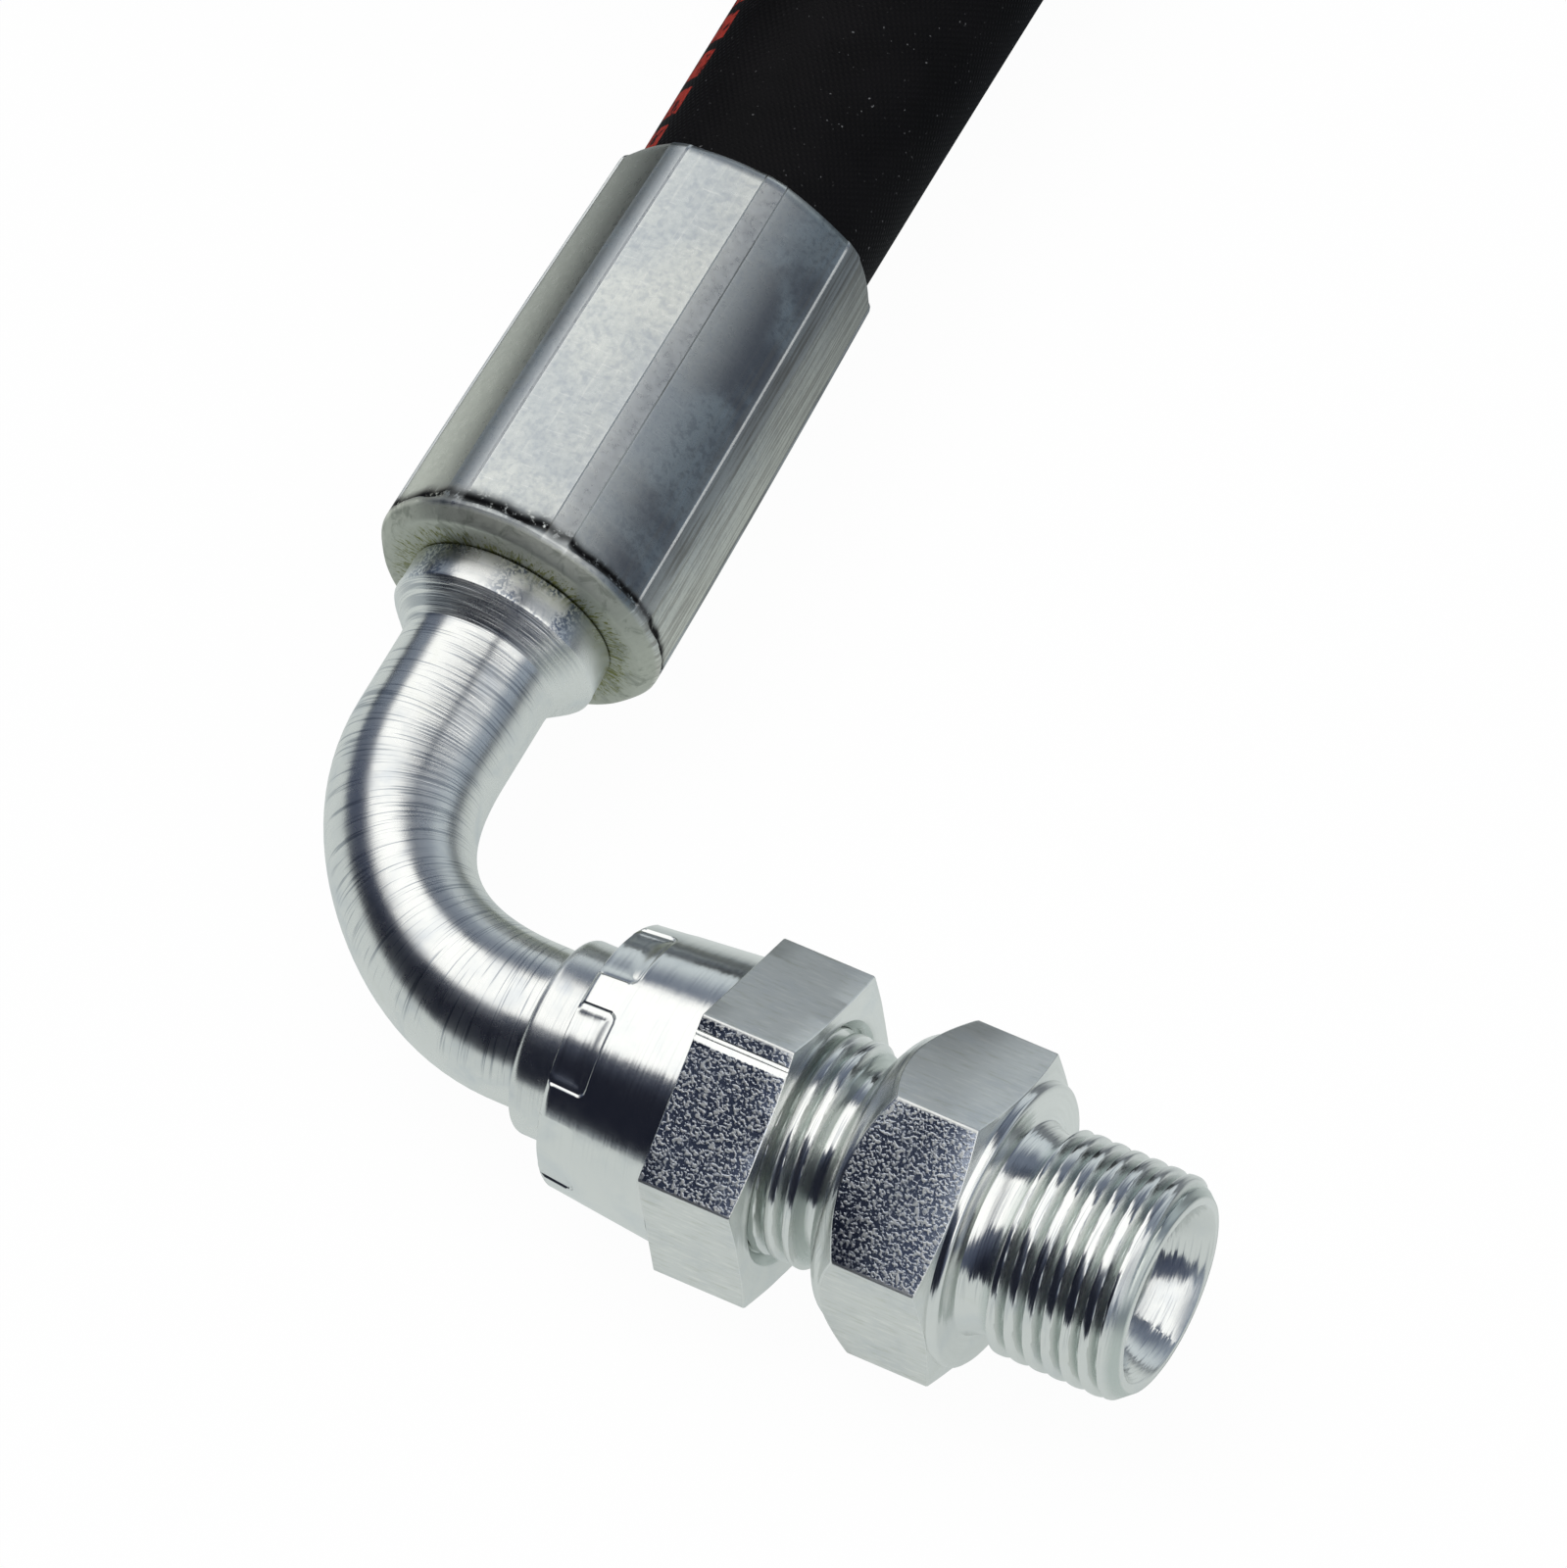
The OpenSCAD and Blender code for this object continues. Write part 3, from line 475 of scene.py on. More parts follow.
def ferrule_zinc():
    """Duller, cloudy plate, pressed and scratched by the crimping jaws. Masks mark the end face,
    the facet painted with shade (shaded_facet), the painted highlights on the strips between the
    jaw marks (crest), the grease and the painted shade round the stem (grease_and_shade), and the
    painted shade in the groove where the jaw marks begin (groove_shade)."""
    s = Shader("ferrule_zinc", Metallic=1.0, Roughness=0.3)
    cloud = s.grain(85, 4.0, 0.6, 0.5)
    spots = s.grain(1500, 4.0, 0.7, 0.2)
    blots = s.grain(420, 4.0, 0.7, 0.6)
    streak = s.noise(s.coords((0.08, 2.2, 1)), 3.0, 0.65)
    hairs = s.noise(s.coords((3.2, 0.3, 1), rotate=(0, 0, math.radians(24))), 2.0, 0.6)
    facing = s.facing()
    edge = s.math("MAXIMUM", s.span(facing[2], 0.25, -0.2), s.span(facing[0], -0.35, -0.6))
    # colour: grey to blue clouds, faint dark spots and light hairlines
    colour = s.mix(s.span(cloud, 0.35, 0.65), (0.57, 0.59, 0.57), (0.47, 0.50, 0.51))
    colour = s.mix(s.span(spots, 0.45, 0.66, 0, 0.3), colour, (0.30, 0.34, 0.41))
    colour = s.mix(s.span(streak, 0.55, 0.75, 0, 0.4), colour, (0.70, 0.71, 0.68))
    colour = s.mix(s.span(hairs, 0.6, 0.75, 0, 0.35), colour, (0.74, 0.75, 0.73))
    # painted shade on the darker facet at the right and in the seam left of the jaw marks
    shaded_facet = s.mix(s.span(cloud, 0.38, 0.6), (0.075, 0.085, 0.105), (0.23, 0.27, 0.29))
    shaded_facet = s.mix(s.span(spots, 0.48, 0.62, 0, 0.5), shaded_facet, (0.06, 0.07, 0.09))
    colour = s.mix(s.times(s.mask("shaded_facet"), 0.9), colour, shaded_facet)
    # painted highlights on the strips between the jaw marks
    colour = s.mix(s.times(s.mask("crest"), 0.7), colour, (0.86, 0.88, 0.87))
    # painted reflection: a pale yellowish tint on the lower and left-facing sides, and dark painted streaks
    # on the right-facing side
    colour = s.mix(s.times(edge, 0.85), colour, (0.72, 0.72, 0.63))
    painted_streaks = s.times(s.span(facing[0], 0.66, 0.82), s.span(streak, 0.42, 0.62))
    colour = s.mix(s.times(painted_streaks, 0.65), colour, (0.20, 0.19, 0.17))
    # end face with its dark smudges and grease, painted shade round the stem, and painted shade in the
    # groove where the jaw marks begin
    face = s.mask("face")
    colour = s.mix(s.times(face, 0.9), colour, (0.50, 0.52, 0.46))
    colour = s.mix(s.times(s.span(blots, 0.5, 0.64, 0, 0.6), face), colour, (0.24, 0.26, 0.22))
    near_stem = s.mask("grease_and_shade")
    # painted shade on the face round the stem
    colour = s.mix(s.times(near_stem, 0.6), colour, (0.22, 0.25, 0.19))
    strands = s.noise(s.coords((0.8, 3.0, 1)), 3.0, 0.75, 1.0)
    grease_and_shade = s.span(s.plus(strands, s.times(near_stem, 0.2)), 0.57, 0.66)
    grease_and_shade = s.times(grease_and_shade, s.span(near_stem, 0.02, 0.25))
    colour = s.mix(s.times(grease_and_shade, 0.9), colour, (0.17, 0.18, 0.035))
    # painted shade, near black, in the groove where the jaw marks begin
    groove_shade = s.times(s.mask("groove_shade"), s.span(spots, 0.32, 0.46))
    colour = s.mix(groove_shade, colour, (0.02, 0.02, 0.022))
    rough = s.span(spots, 0.3, 0.7, 0.26, 0.36)
    rough = s.plus(rough, s.times(face, 0.2))
    rough = s.plus(rough, s.times(groove_shade, 0.6))
    normal = s.bump(streak, 0.005)
    normal = s.bump(spots, 0.006, normal=normal)
    normal = s.bump(cloud, 0.05, normal=normal)
    normal = s.bump(s.times(blots, face), 0.06, normal=normal)
    s.surface(Base_Color=colour, Roughness=rough, Normal=normal)
    return s


# Red marks on the hose: where they lie round it, as an arc in mm, their height, their pitch
# and how much of it a dash takes up
PRINT_AT, PRINT_H, DASH_PITCH, DASH_SHARE = math.radians(360 - 58) * HOSE_R, 3.5, 4.4, 0.72
WEAVE_ANGLES = (38, -52)


def cover_rubber():
    """Black cover with the fine diagonal print of its wrapping cloth, dust and red marks."""
    s = Shader("cover_rubber", Specular_IOR_Level=0.12)
    weave = s.times(*[s.waves(s.coords(rotate=(0, 0, math.radians(angle))), 0.62, distortion=0.4)
                      for angle in WEAVE_ANGLES])
    dust = s.grain(2600, 1.0, 0.5)
    cloud = s.grain(160, 3.0, 0.6)
    colour = s.mix(s.span(cloud, 0.3, 0.7), (0.0012, 0.001, 0.0014), (0.0028, 0.0024, 0.003))
    colour = s.mix(s.span(dust, 0.735, 0.80, 0, 0.35), colour, (0.35, 0.35, 0.36))
    # a row of short red dashes along one side, broken and worn
    uv = s.node("SeparateXYZ", {0: s.coords()}).outputs
    band = s.math("COMPARE", uv[1], PRINT_AT, PRINT_H / 2)
    dash = s.math("LESS_THAN", s.math("FRACT", s.times(uv[0], 1 / DASH_PITCH)), DASH_SHARE)
    wear_and_shade = s.span(s.grain(900, 3.0, 0.7), 0.38, 0.52)
    ink = s.times(s.times(band, dash), wear_and_shade)
    colour = s.mix(s.times(ink, 0.85), colour, (0.42, 0.035, 0.022))
    normal = s.bump(cloud, 0.04, normal=s.bump(weave, 0.05))
    s.surface(Base_Color=colour, Roughness=s.span(weave, 0, 1, 0.62, 0.48), Normal=normal)
    return s


def liner_rubber():
    s = Shader("liner_rubber", Roughness=0.5)
    cloud = s.grain(300, 3.0)
    s.surface(Base_Color=s.mix(cloud, (0.018, 0.018, 0.018), (0.035, 0.035, 0.033)),
              Normal=s.bump(cloud, 0.03))
    return s


def wire_braid():
    """Brass-coated wires that cross each other, seen at a cut end."""
    s = Shader("wire_braid", Metallic=1.0, Roughness=0.32)
    height = s.math("MAXIMUM", *[
        s.waves(s.coords(kind="Object", rotate=(0, 0, math.radians(angle))), 900.0) for angle in (35, -35)])
    # the colour is painted darker where the wires lie low, as shade between them
    s.surface(Base_Color=s.mix(height, (0.25, 0.2, 0.12), (0.66, 0.56, 0.38)),
              Normal=s.bump(height, 0.1))
    return s


def tie_nylon():
    s = Shader("tie_nylon", Roughness=0.42)
    ribs = s.waves(s.coords((1, 0, 0)), 0.32)
    grain = s.grain(1200, 2.0)
    normal = s.bump(s.times(ribs, s.mask("ribs")), 0.25)
    s.surface(Base_Color=s.mix(grain, (0.012, 0.012, 0.013), (0.03, 0.03, 0.032)),
              Normal=s.bump(grain, 0.01, normal=normal))
    return s


elbow_zinc = zinc("elbow_zinc", brush=0.08, cut=0.5, line_shade=0.75, blotch=0.6, gloss=0.24, drag=0.75)
turned_zinc = zinc("turned_zinc", brush=0.4, cut=0.15, line_shade=0.4, blotch=0.35, gloss=0.14, drag=0.7)
crimp_zinc = ferrule_zinc()
rubber = cover_rubber()
liner = liner_rubber()
braid = wire_braid()
nylon = tie_nylon()


# ---- free hose and its tie
def hose_path():
    """Points every few mm along the whole free hose, in mm."""
    run = [MOUTH + Vector(p) for p in RUN]
    fine = []
    for k in range(len(run) - 1):
        before, after = run[max(k - 1, 0)], run[min(k + 2, len(run) - 1)]
        m0, m1 = (run[k + 1] - before) / 2, (after - run[k]) / 2
        for t in (0.0, 0.2, 0.4, 0.6, 0.8):
            fine.append((2 * t ** 3 - 3 * t ** 2 + 1) * run[k] + (t ** 3 - 2 * t ** 2 + t) * m0
                        + (3 * t ** 2 - 2 * t ** 3) * run[k + 1] + (t ** 3 - t ** 2) * m1)
    return fine + [lap_point(a) for a in np.arange(0, LAP_END + 0.1, 2.5)]


def tube_points(path, first, last, radius, sides):
    """Rings of a tube along a path that never stands upright."""
    path = np.array([tuple(p) for p in path])
    tangent = np.gradient(path, axis=0)
    tangent[0], tangent[-1] = first, last
    tangent /= np.linalg.norm(tangent, axis=1)[:, None]
    side = np.cross(tangent, (0, 0, 1.0))
    side /= np.linalg.norm(side, axis=1)[:, None]
    up = np.cross(side, tangent)
    a = np.linspace(0, 2 * math.pi, sides, endpoint=False)
    return (path[:, None] + radius * np.cos(a)[None, :, None] * up[:, None]
            + radius * np.sin(a)[None, :, None] * side[:, None])


route = hose_path()
steps = [(route[k + 1] - route[k]).length for k in range(len(route) - 1)]
hose_length = sum(steps)
hose = skin("hose", tube_points(route, (0, 1, 0), FAR_HEADING, HOSE_R, HOSE_SIDES),
            np.concatenate([[0], np.cumsum(steps), [hose_length]]),
            np.linspace(0, 2 * math.pi * HOSE_R, HOSE_SIDES + 1), closed=False)
finish_piece(hose, rubber, "cover_rubber", "hose_and_stems", "hose_run", "hose_coil", "hose_tail")


def stadium(gap, reach, steps=28):
    """Closed outline of two half rounds a distance apart, as (across, up, normal angle)."""
    outline = []
    for sign, start in ((1, 0), (-1, 180)):
        for k in range(steps + 1):
            b = math.radians(start + 180 * k / steps)
            outline.append((reach * math.cos(b), sign * gap + reach * math.sin(b), b))
    return outline


def rectangle(a0, a1, b0, b1, radius, steps):
    return soften([(a0, b0), (a1, b0), (a1, b1), (a0, b1)], radius, steps)


def coil_tie():
    """The cable tie round two laps of hose: its strap, its head and the strap's cut tail."""
    gap = lap_rise(TIE_ANGLE) / 2
    centre = np.array(lap_point(TIE_ANGLE) - Vector((0, 0, gap)))
    a = math.radians(TIE_ANGLE)
    out = np.array((math.cos(a), math.sin(a), 0))
    forward = np.array((-math.sin(a), math.cos(a), 0))
    up = np.array((0, 0, 1.0))
    reach = HOSE_R + TIE_ROOM + TIE_T / 2
    section = rectangle(-TIE_W / 2, TIE_W / 2, -TIE_T / 2, TIE_T / 2, 0.3, 3)
    rings = []
    for across, height, b in stadium(gap, reach):
        normal = math.cos(b) * out + math.sin(b) * up
        base = centre + across * out + height * up
        rings.append([base + w * forward + t * normal for w, t in section])
    rings = np.array(rings)
    lengths = np.linalg.norm(np.roll(rings[:, 0], -1, 0) - rings[:, 0], axis=1)
    along = np.concatenate([[0], np.cumsum(lengths)])
    width = np.linspace(0, 2 * (TIE_W + TIE_T), len(section) + 1)
    strap = skin("coil_tie_strap", rings, along, width, masks={"ribs": np.ones(1)})
    # head: a softened block with a slot through which the strap's cut tail stands out
    low, high = reach, reach + TIE_HEAD_H + TIE_T / 2
    half_w, half_l = TIE_W / 2 + TIE_HEAD_RIM, TIE_HEAD_LEN / 2
    outline = rectangle(-half_l, half_l, -half_w, half_w, 1.2, 5)
    slot = rectangle(-2.2, 2.0, -TIE_W / 2 - 0.2, TIE_W / 2 + 0.2, 0.4, 5)
    levels = [(outline, 1.0, low), (outline, 1.0, high - 0.8), (outline, 0.985, high - 0.25),
              (outline, 0.95, high), (slot, 1.0, high), (slot, 1.0, low + 1.5), (slot, 1.0, low)]
    cut_tail = rectangle(-1.6, -0.5, -TIE_W / 2, TIE_W / 2, 0.25, 3)
    tail_levels = [(cut_tail, 1.0, h) for h in np.linspace(low + 0.6, high - 0.4, 6)]
    head_rings, tail_rings = (np.array([[centre + h * out + k * p[0] * up + k * p[1] * forward
                                         for p in shape] for shape, k, h in rows])
                              for rows in (levels, tail_levels))
    head = skin("coil_tie_head", head_rings, 0.0, 0.0, masks={"ribs": np.zeros(1)})
    tail = skin("coil_tie_tail", tail_rings, np.linspace(0, 6, len(tail_rings) + 1), 0.0, closed=False,
                masks={"ribs": np.ones(1)})
    return strap, head, tail


tie_pieces = coil_tie()
finish_piece(tie_pieces[0], nylon, "tie_nylon", "hose_and_stems", "coil_tie")
for tie_piece in tie_pieces[1:]:
    finish_piece(tie_piece, nylon, "tie_nylon", "hose_and_stems")


# ---- stems
def shoulder_outline():
    """Outer outline of a stem's hose side, z from the ferrule's end face."""
    # flare: (share of the rise from tube to shoulder, distance from the shoulder's foot)
    flare = [(0.04, 1.1), (0.14, 1.4), (0.3, 1.8), (0.5, 2.3), (0.72, 2.85), (0.93, 3.4),
             (1.02, 3.7), (1.03, 4.0), (1.0, 4.6)]
    outline = [(-SHOULDER_LEN, TUBE_R)]
    outline += [(-SHOULDER_LEN + z, TUBE_R + (SHOULDER_R - TUBE_R) * k) for k, z in flare]
    outline += [(-0.1, SHOULDER_R), (-0.1, LOCK_R), (LOCK_Z, LOCK_R), (LOCK_Z, LOCK_COLLAR_R),
                (TAIL_Z, LOCK_COLLAR_R)]
    tip_len = 2
    pitch = (TAIL_END_Z - tip_len - TAIL_Z) / BARBS
    for k in range(BARBS):
        outline += [(TAIL_Z + k * pitch, BARB_R - BARB_DEPTH), (TAIL_Z + (k + 0.85) * pitch, BARB_R)]
    return outline + [(TAIL_END_Z - tip_len, BARB_R), (TAIL_END_Z, BARB_R - 0.8)]


def swivel_outline():
    """Outer outline of a stem's swivel side, z from the collar's rear towards the nose."""
    round_r = 0.9
    round_in = [(round_r * (1 + math.sin(b)), COLLAR_R - round_r * (1 - math.cos(b)))
                for b in np.radians((-60, -48, -36, -24, -12, 0))]
    return [(0, TUBE_R)] + round_in + [
        (COLLAR_LEN, COLLAR_R), (COLLAR_LEN, GROOVE_R), (FLANGE_Z, GROOVE_R), (FLANGE_Z, FLANGE_R),
        (NOSE_Z, FLANGE_R), (NOSE_Z, NOSE_BASE_R), (STEM_LEN, NOSE_TIP_R)]


def bend_place(s, r, t):
    """Point of the elbow: s along its centre line from the bend's swivel end, angle t round it."""
    a = np.clip(s / BEND_R, 0, math.pi / 2)
    centre = np.stack([CORNER_X + BEND_R - BEND_R * np.sin(a) - np.minimum(s, 0),
                       BEND_R - BEND_R * np.cos(a) + np.maximum(s - BEND_LEN, 0),
                       np.zeros_like(s)], -1)
    outward = np.stack([-np.sin(a), -np.cos(a), np.zeros_like(a)], -1)
    in_plane = r - np.where(r > BORE_R + 0.1, BEND_SQUASH * np.sin(2 * a) ** 2, 0)
    return (centre[:, None] + (in_plane[:, None] * np.cos(t))[..., None] * outward[:, None]
            + (r[:, None] * np.sin(t))[..., None] * np.array((0, 0, 1.0)))


def elbow():
    """The elbow stem, one skin along the bent centre line, outside and through its bore."""
    to_swivel = LEG_SWIVEL - BEND_R
    from_ferrule = BEND_LEN + FERRULE_Y - BEND_R
    outer = [(-to_swivel - z, r) for z, r in reversed(swivel_outline())]
    outer += [(from_ferrule + z, r) for z, r in shoulder_outline()]
    bore = [(from_ferrule + TAIL_END_Z, BORE_R), (-to_swivel - STEM_LEN, BORE_R)]
    outline = []
    rounded = soften(outer + bore, 0.12)
    for k, (s, r) in enumerate(rounded):
        outline.append((s, r))
        after = rounded[(k + 1) % len(rounded)]
        if abs(after[0] - s) > 3:
            cuts = max(2, int(abs(after[0] - s) / ELBOW_STEP))
            outline += [(s + (after[0] - s) * m / cuts, r + (after[1] - r) * m / cuts)
                        for m in range(1, cuts)]
    s, r = np.array(outline).T
    t = np.radians(np.arange(ELBOW_SIDES) * 360 / ELBOW_SIDES - 90)
    lengths = np.hypot(np.diff(s, append=s[0]), np.diff(r, append=r[0]))
    along = np.concatenate([[0], np.cumsum(lengths)])
    around = np.linspace(0, 2 * math.pi * TUBE_R, ELBOW_SIDES + 1)
    on_collar = smooth(-s, to_swivel - 0.3, to_swivel + 0.1)
    shoulder = from_ferrule - SHOULDER_LEN
    on_rim = smooth(s, shoulder, shoulder + 1.6) * (r > SHOULDER_R - 0.12)
    flare = (s > shoulder) & (s < from_ferrule) & (r > TUBE_R + 0.1) & (r < SHOULDER_R - 0.12)
    calm = np.maximum(0.75 * on_collar, 0.8 * on_rim)
    # phi is the angle from the top; the flare and the bend's inner side are cut deeper, and their turning
    # lines get more painted shade
    phi = np.degrees(t) - 90
    inner = smooth(s, 12, 24)[:, None] * between(phi, -5, 20, 50, 80)
    deep = np.maximum(flare[:, None], 0.4 * inner * (r < TUBE_R + 0.1)[:, None])
    stained = np.maximum(between(phi, -4, 16, 44, 60), 0.8 * between(phi, -60, -44, -24, -14))
    return skin("elbow", bend_place(s, r, t), along, around,
                masks={"calm": calm[:, None], "pitted": on_rim[:, None] * stained, "deep": deep})


finish_piece(elbow(), elbow_zinc, "zinc_plate", "hose_and_stems", "elbow_stem")


def far_stem():
    swivel = [(-SHOULDER_LEN - z, r) for z, r in reversed(swivel_outline())]
    outline = swivel + shoulder_outline()[1:]
    outline += [(TAIL_END_Z, BORE_R), (-SHOULDER_LEN - STEM_LEN, BORE_R)]
    place = placed(FAR_FACE, -FAR_HEADING)
    return turned("far_stem_piece", place, angles(4), soften(outline, 0.12))


finish_piece(far_stem(), turned_zinc, "zinc_plate", "hose_and_stems", "far_stem")


# ---- ferrules
def ferrule_radius(z):
    return FERRULE_R + (MOUTH_R - FERRULE_R) * (np.maximum(z, 0) / FERRULE_LEN) ** 1.5


def inner_grips():
    """Inside of the ferrule from its mouth back to its end wall."""
    hose_z, mouth_z, count, deep = TAIL_Z + 0.4, FERRULE_LEN - 6, 5, CRIMPED_R + 0.5
    flat, flank, before_mouth = 1.6, 0.6, 2.7
    first = hose_z + 2.2 + flat
    pitch = (mouth_z - before_mouth + flat - first) / count
    grips = [(LIP_LEN, deep), (hose_z + 1.2, deep), (hose_z + 1.8, CRIMPED_R)]
    for k in range(count):
        z = first + k * pitch
        grips += [(z, CRIMPED_R), (z + flank, deep),
                  (z + pitch - flat - flank, deep), (z + pitch - flat, CRIMPED_R)]
    grips += [(mouth_z, CRIMPED_R), (FERRULE_LEN, HOSE_R + 0.03)]
    return grips[::-1]


def ferrule_piece(name, place):
    """A crimped ferrule: jaw marks outside with a ragged start, lock lip and grips inside."""
    strips = [JAW_PHASE + k * 360 / JAWS for k in range(JAWS)]
    half = JAW_STRIP / 2
    edge_steps = (-0.7, -0.35, 0, 0.35, 0.7)
    phi = angles(3, [c + sign * (half + d) for c in strips for sign in (-1, 1) for d in edge_steps])
    sector = from_nearest(phi, JAW_PHASE, JAWS)
    jaw = smooth(np.abs(sector), half - 0.35, half + 0.35)
    from_middle = (180 / JAWS - np.abs(sector)) / (180 / JAWS - half)
    flatten = JAW_FLAT * np.clip(1 - from_middle ** 2, 0, 1)
    ragged = np.interp(phi % 360, np.linspace(0, 360, 91), np.append(rng.uniform(-1, 1, 90), 0) * 0.12)
    heights = np.concatenate([[1.7], np.arange(1.78, 2.9, 0.09), np.arange(3, 4.2, 0.25),
                              np.arange(5, FERRULE_LEN - 0.8, 2.2), [FERRULE_LEN - 0.7]])
    lip_round = [(0, 1.3), (0.05, 1.15), (0.2, 0.98), (0.6, 0.66), (1.1, 0.3), (1.4, 0.1), (1.55, 0.02)]
    stations = [(z, FERRULE_R - drop) for z, drop in lip_round]
    for z in heights:
        mark = jaw * smooth(z + ragged, 1.85, 2.05)
        notch = jaw * (0.04 + 0.5 * flatten) * hump(z + ragged, 2.3, 0.2)
        stations.append((z, ferrule_radius(z) - mark * (JAW_DEPTH + flatten) - notch))
    lip = jaw * (JAW_DEPTH + flatten)
    stations += [(FERRULE_LEN - 0.3, MOUTH_R - 0.12 - lip),
                 (FERRULE_LEN - 0.06, MOUTH_R - 0.35 - 0.8 * lip), (FERRULE_LEN, MOUTH_R - 0.6 - 0.5 * lip)]
    stations += inner_grips()
    stations += [(LIP_LEN, LOCK_R + 0.1), (0.12, LOCK_R + 0.1), (0, LOCK_R + 0.25)]
    z = np.array([np.mean(s[0]) for s in stations])
    r = np.array([np.mean(s[1]) for s in stations])
    face = ((z < 1.2) & (r > LOCK_R)).astype(float)
    # this mask places the grease and the painted shade round the stem
    grease_and_shade = face * smooth(-r, -SHOULDER_R - 2.6, -SHOULDER_R)
    outside = (r > CRIMPED_R + 1.05).astype(float)[:, None]
    # painted shade lies in the groove where the jaw marks begin, in a band that is wider on the upper left
    groove_shade_z, groove_shade_width = 2.5, 0.42 + 0.3 * smooth(-phi, -50, -10)
    groove_shade = (0.78 + 0.22 * jaw) * hump(z[:, None] + 2 * ragged, groove_shade_z, groove_shade_width)
    # painted shade on the facet at the right and in the seam at the left
    left = hump(phi, LEFT_SEAM, LEFT_SEAM_WIDTH)
    shaded_facet = np.clip(between(phi, 18, 50, 64, 76) + left + 0.15 * ragged, 0, 1)
    # painted highlights on the strips between the jaw marks and along their edges
    seam = hump(np.abs(sector), half, 0.5)
    crest = np.maximum(0.6 * (1 - jaw), seam) * (1 - left)
    return turned(name, place, phi, stations, sharp=28,
                  masks={"face": face[:, None], "grease_and_shade": grease_and_shade[:, None], "groove_shade": outside * groove_shade,
                         "shaded_facet": outside * shaded_facet, "crest": outside * crest})


near_ferrule = ferrule_piece("near_ferrule", placed((CORNER_X, FERRULE_Y, 0), (0, 1, 0)))
finish_piece(near_ferrule, crimp_zinc, "ferrule_zinc", "hose_and_stems", "ferrule")
far_ferrule = ferrule_piece("far_ferrule_piece", placed(FAR_FACE, -FAR_HEADING))
finish_piece(far_ferrule, crimp_zinc, "ferrule_zinc", "hose_and_stems", "far_ferrule")


# ---- swivel nuts
def flat_masks(rows, phi, start, end, scored):
    """Masks of a hexagon's flats, satin and rough: one flat is rough, and a scored part neither."""
    rough, satin = np.zeros((rows, len(phi))), np.zeros((rows, len(phi)))
    one_flat = (phi > 0.9) & (phi < 59.1)
    rough[start:end] = one_flat & ~scored
    satin[start:end] = ~one_flat & ~scored
    return satin, rough


def skirt_radius(z):
    return SKIRT_RIM_R + (SKIRT_BASE_R - SKIRT_RIM_R) * z / NUT_HEX_Z


def window_mask(phi, z):
    """1 inside the pressed windows round the skirt, 0 outside, with rounded corners."""
    off, corner = np.abs(from_nearest(phi, WINDOW_PHASE, WINDOWS)), 0.8
    across = np.radians(off - WINDOW_ARC / 2) * SKIRT_RIM_R + corner
    up = z - WINDOW_LEN + corner
    outside = np.hypot(np.maximum(across, 0), np.maximum(up, 0))
    distance = outside + np.minimum(np.maximum(across, up), 0) - corner
    return 0.5 * smooth(-distance, -0.1, 0.1) + 0.5 * smooth(-distance, 0.1, 1.5)


# Scored double line along the nut's facing flat: (degrees from its middle, depth)
SCORE_AT, SCORE = 6.2, [(-1.55, 0), (-1.4, 0.11), (-0.25, 0.01), (-0.05, 0.14), (2.1, 0.0)]


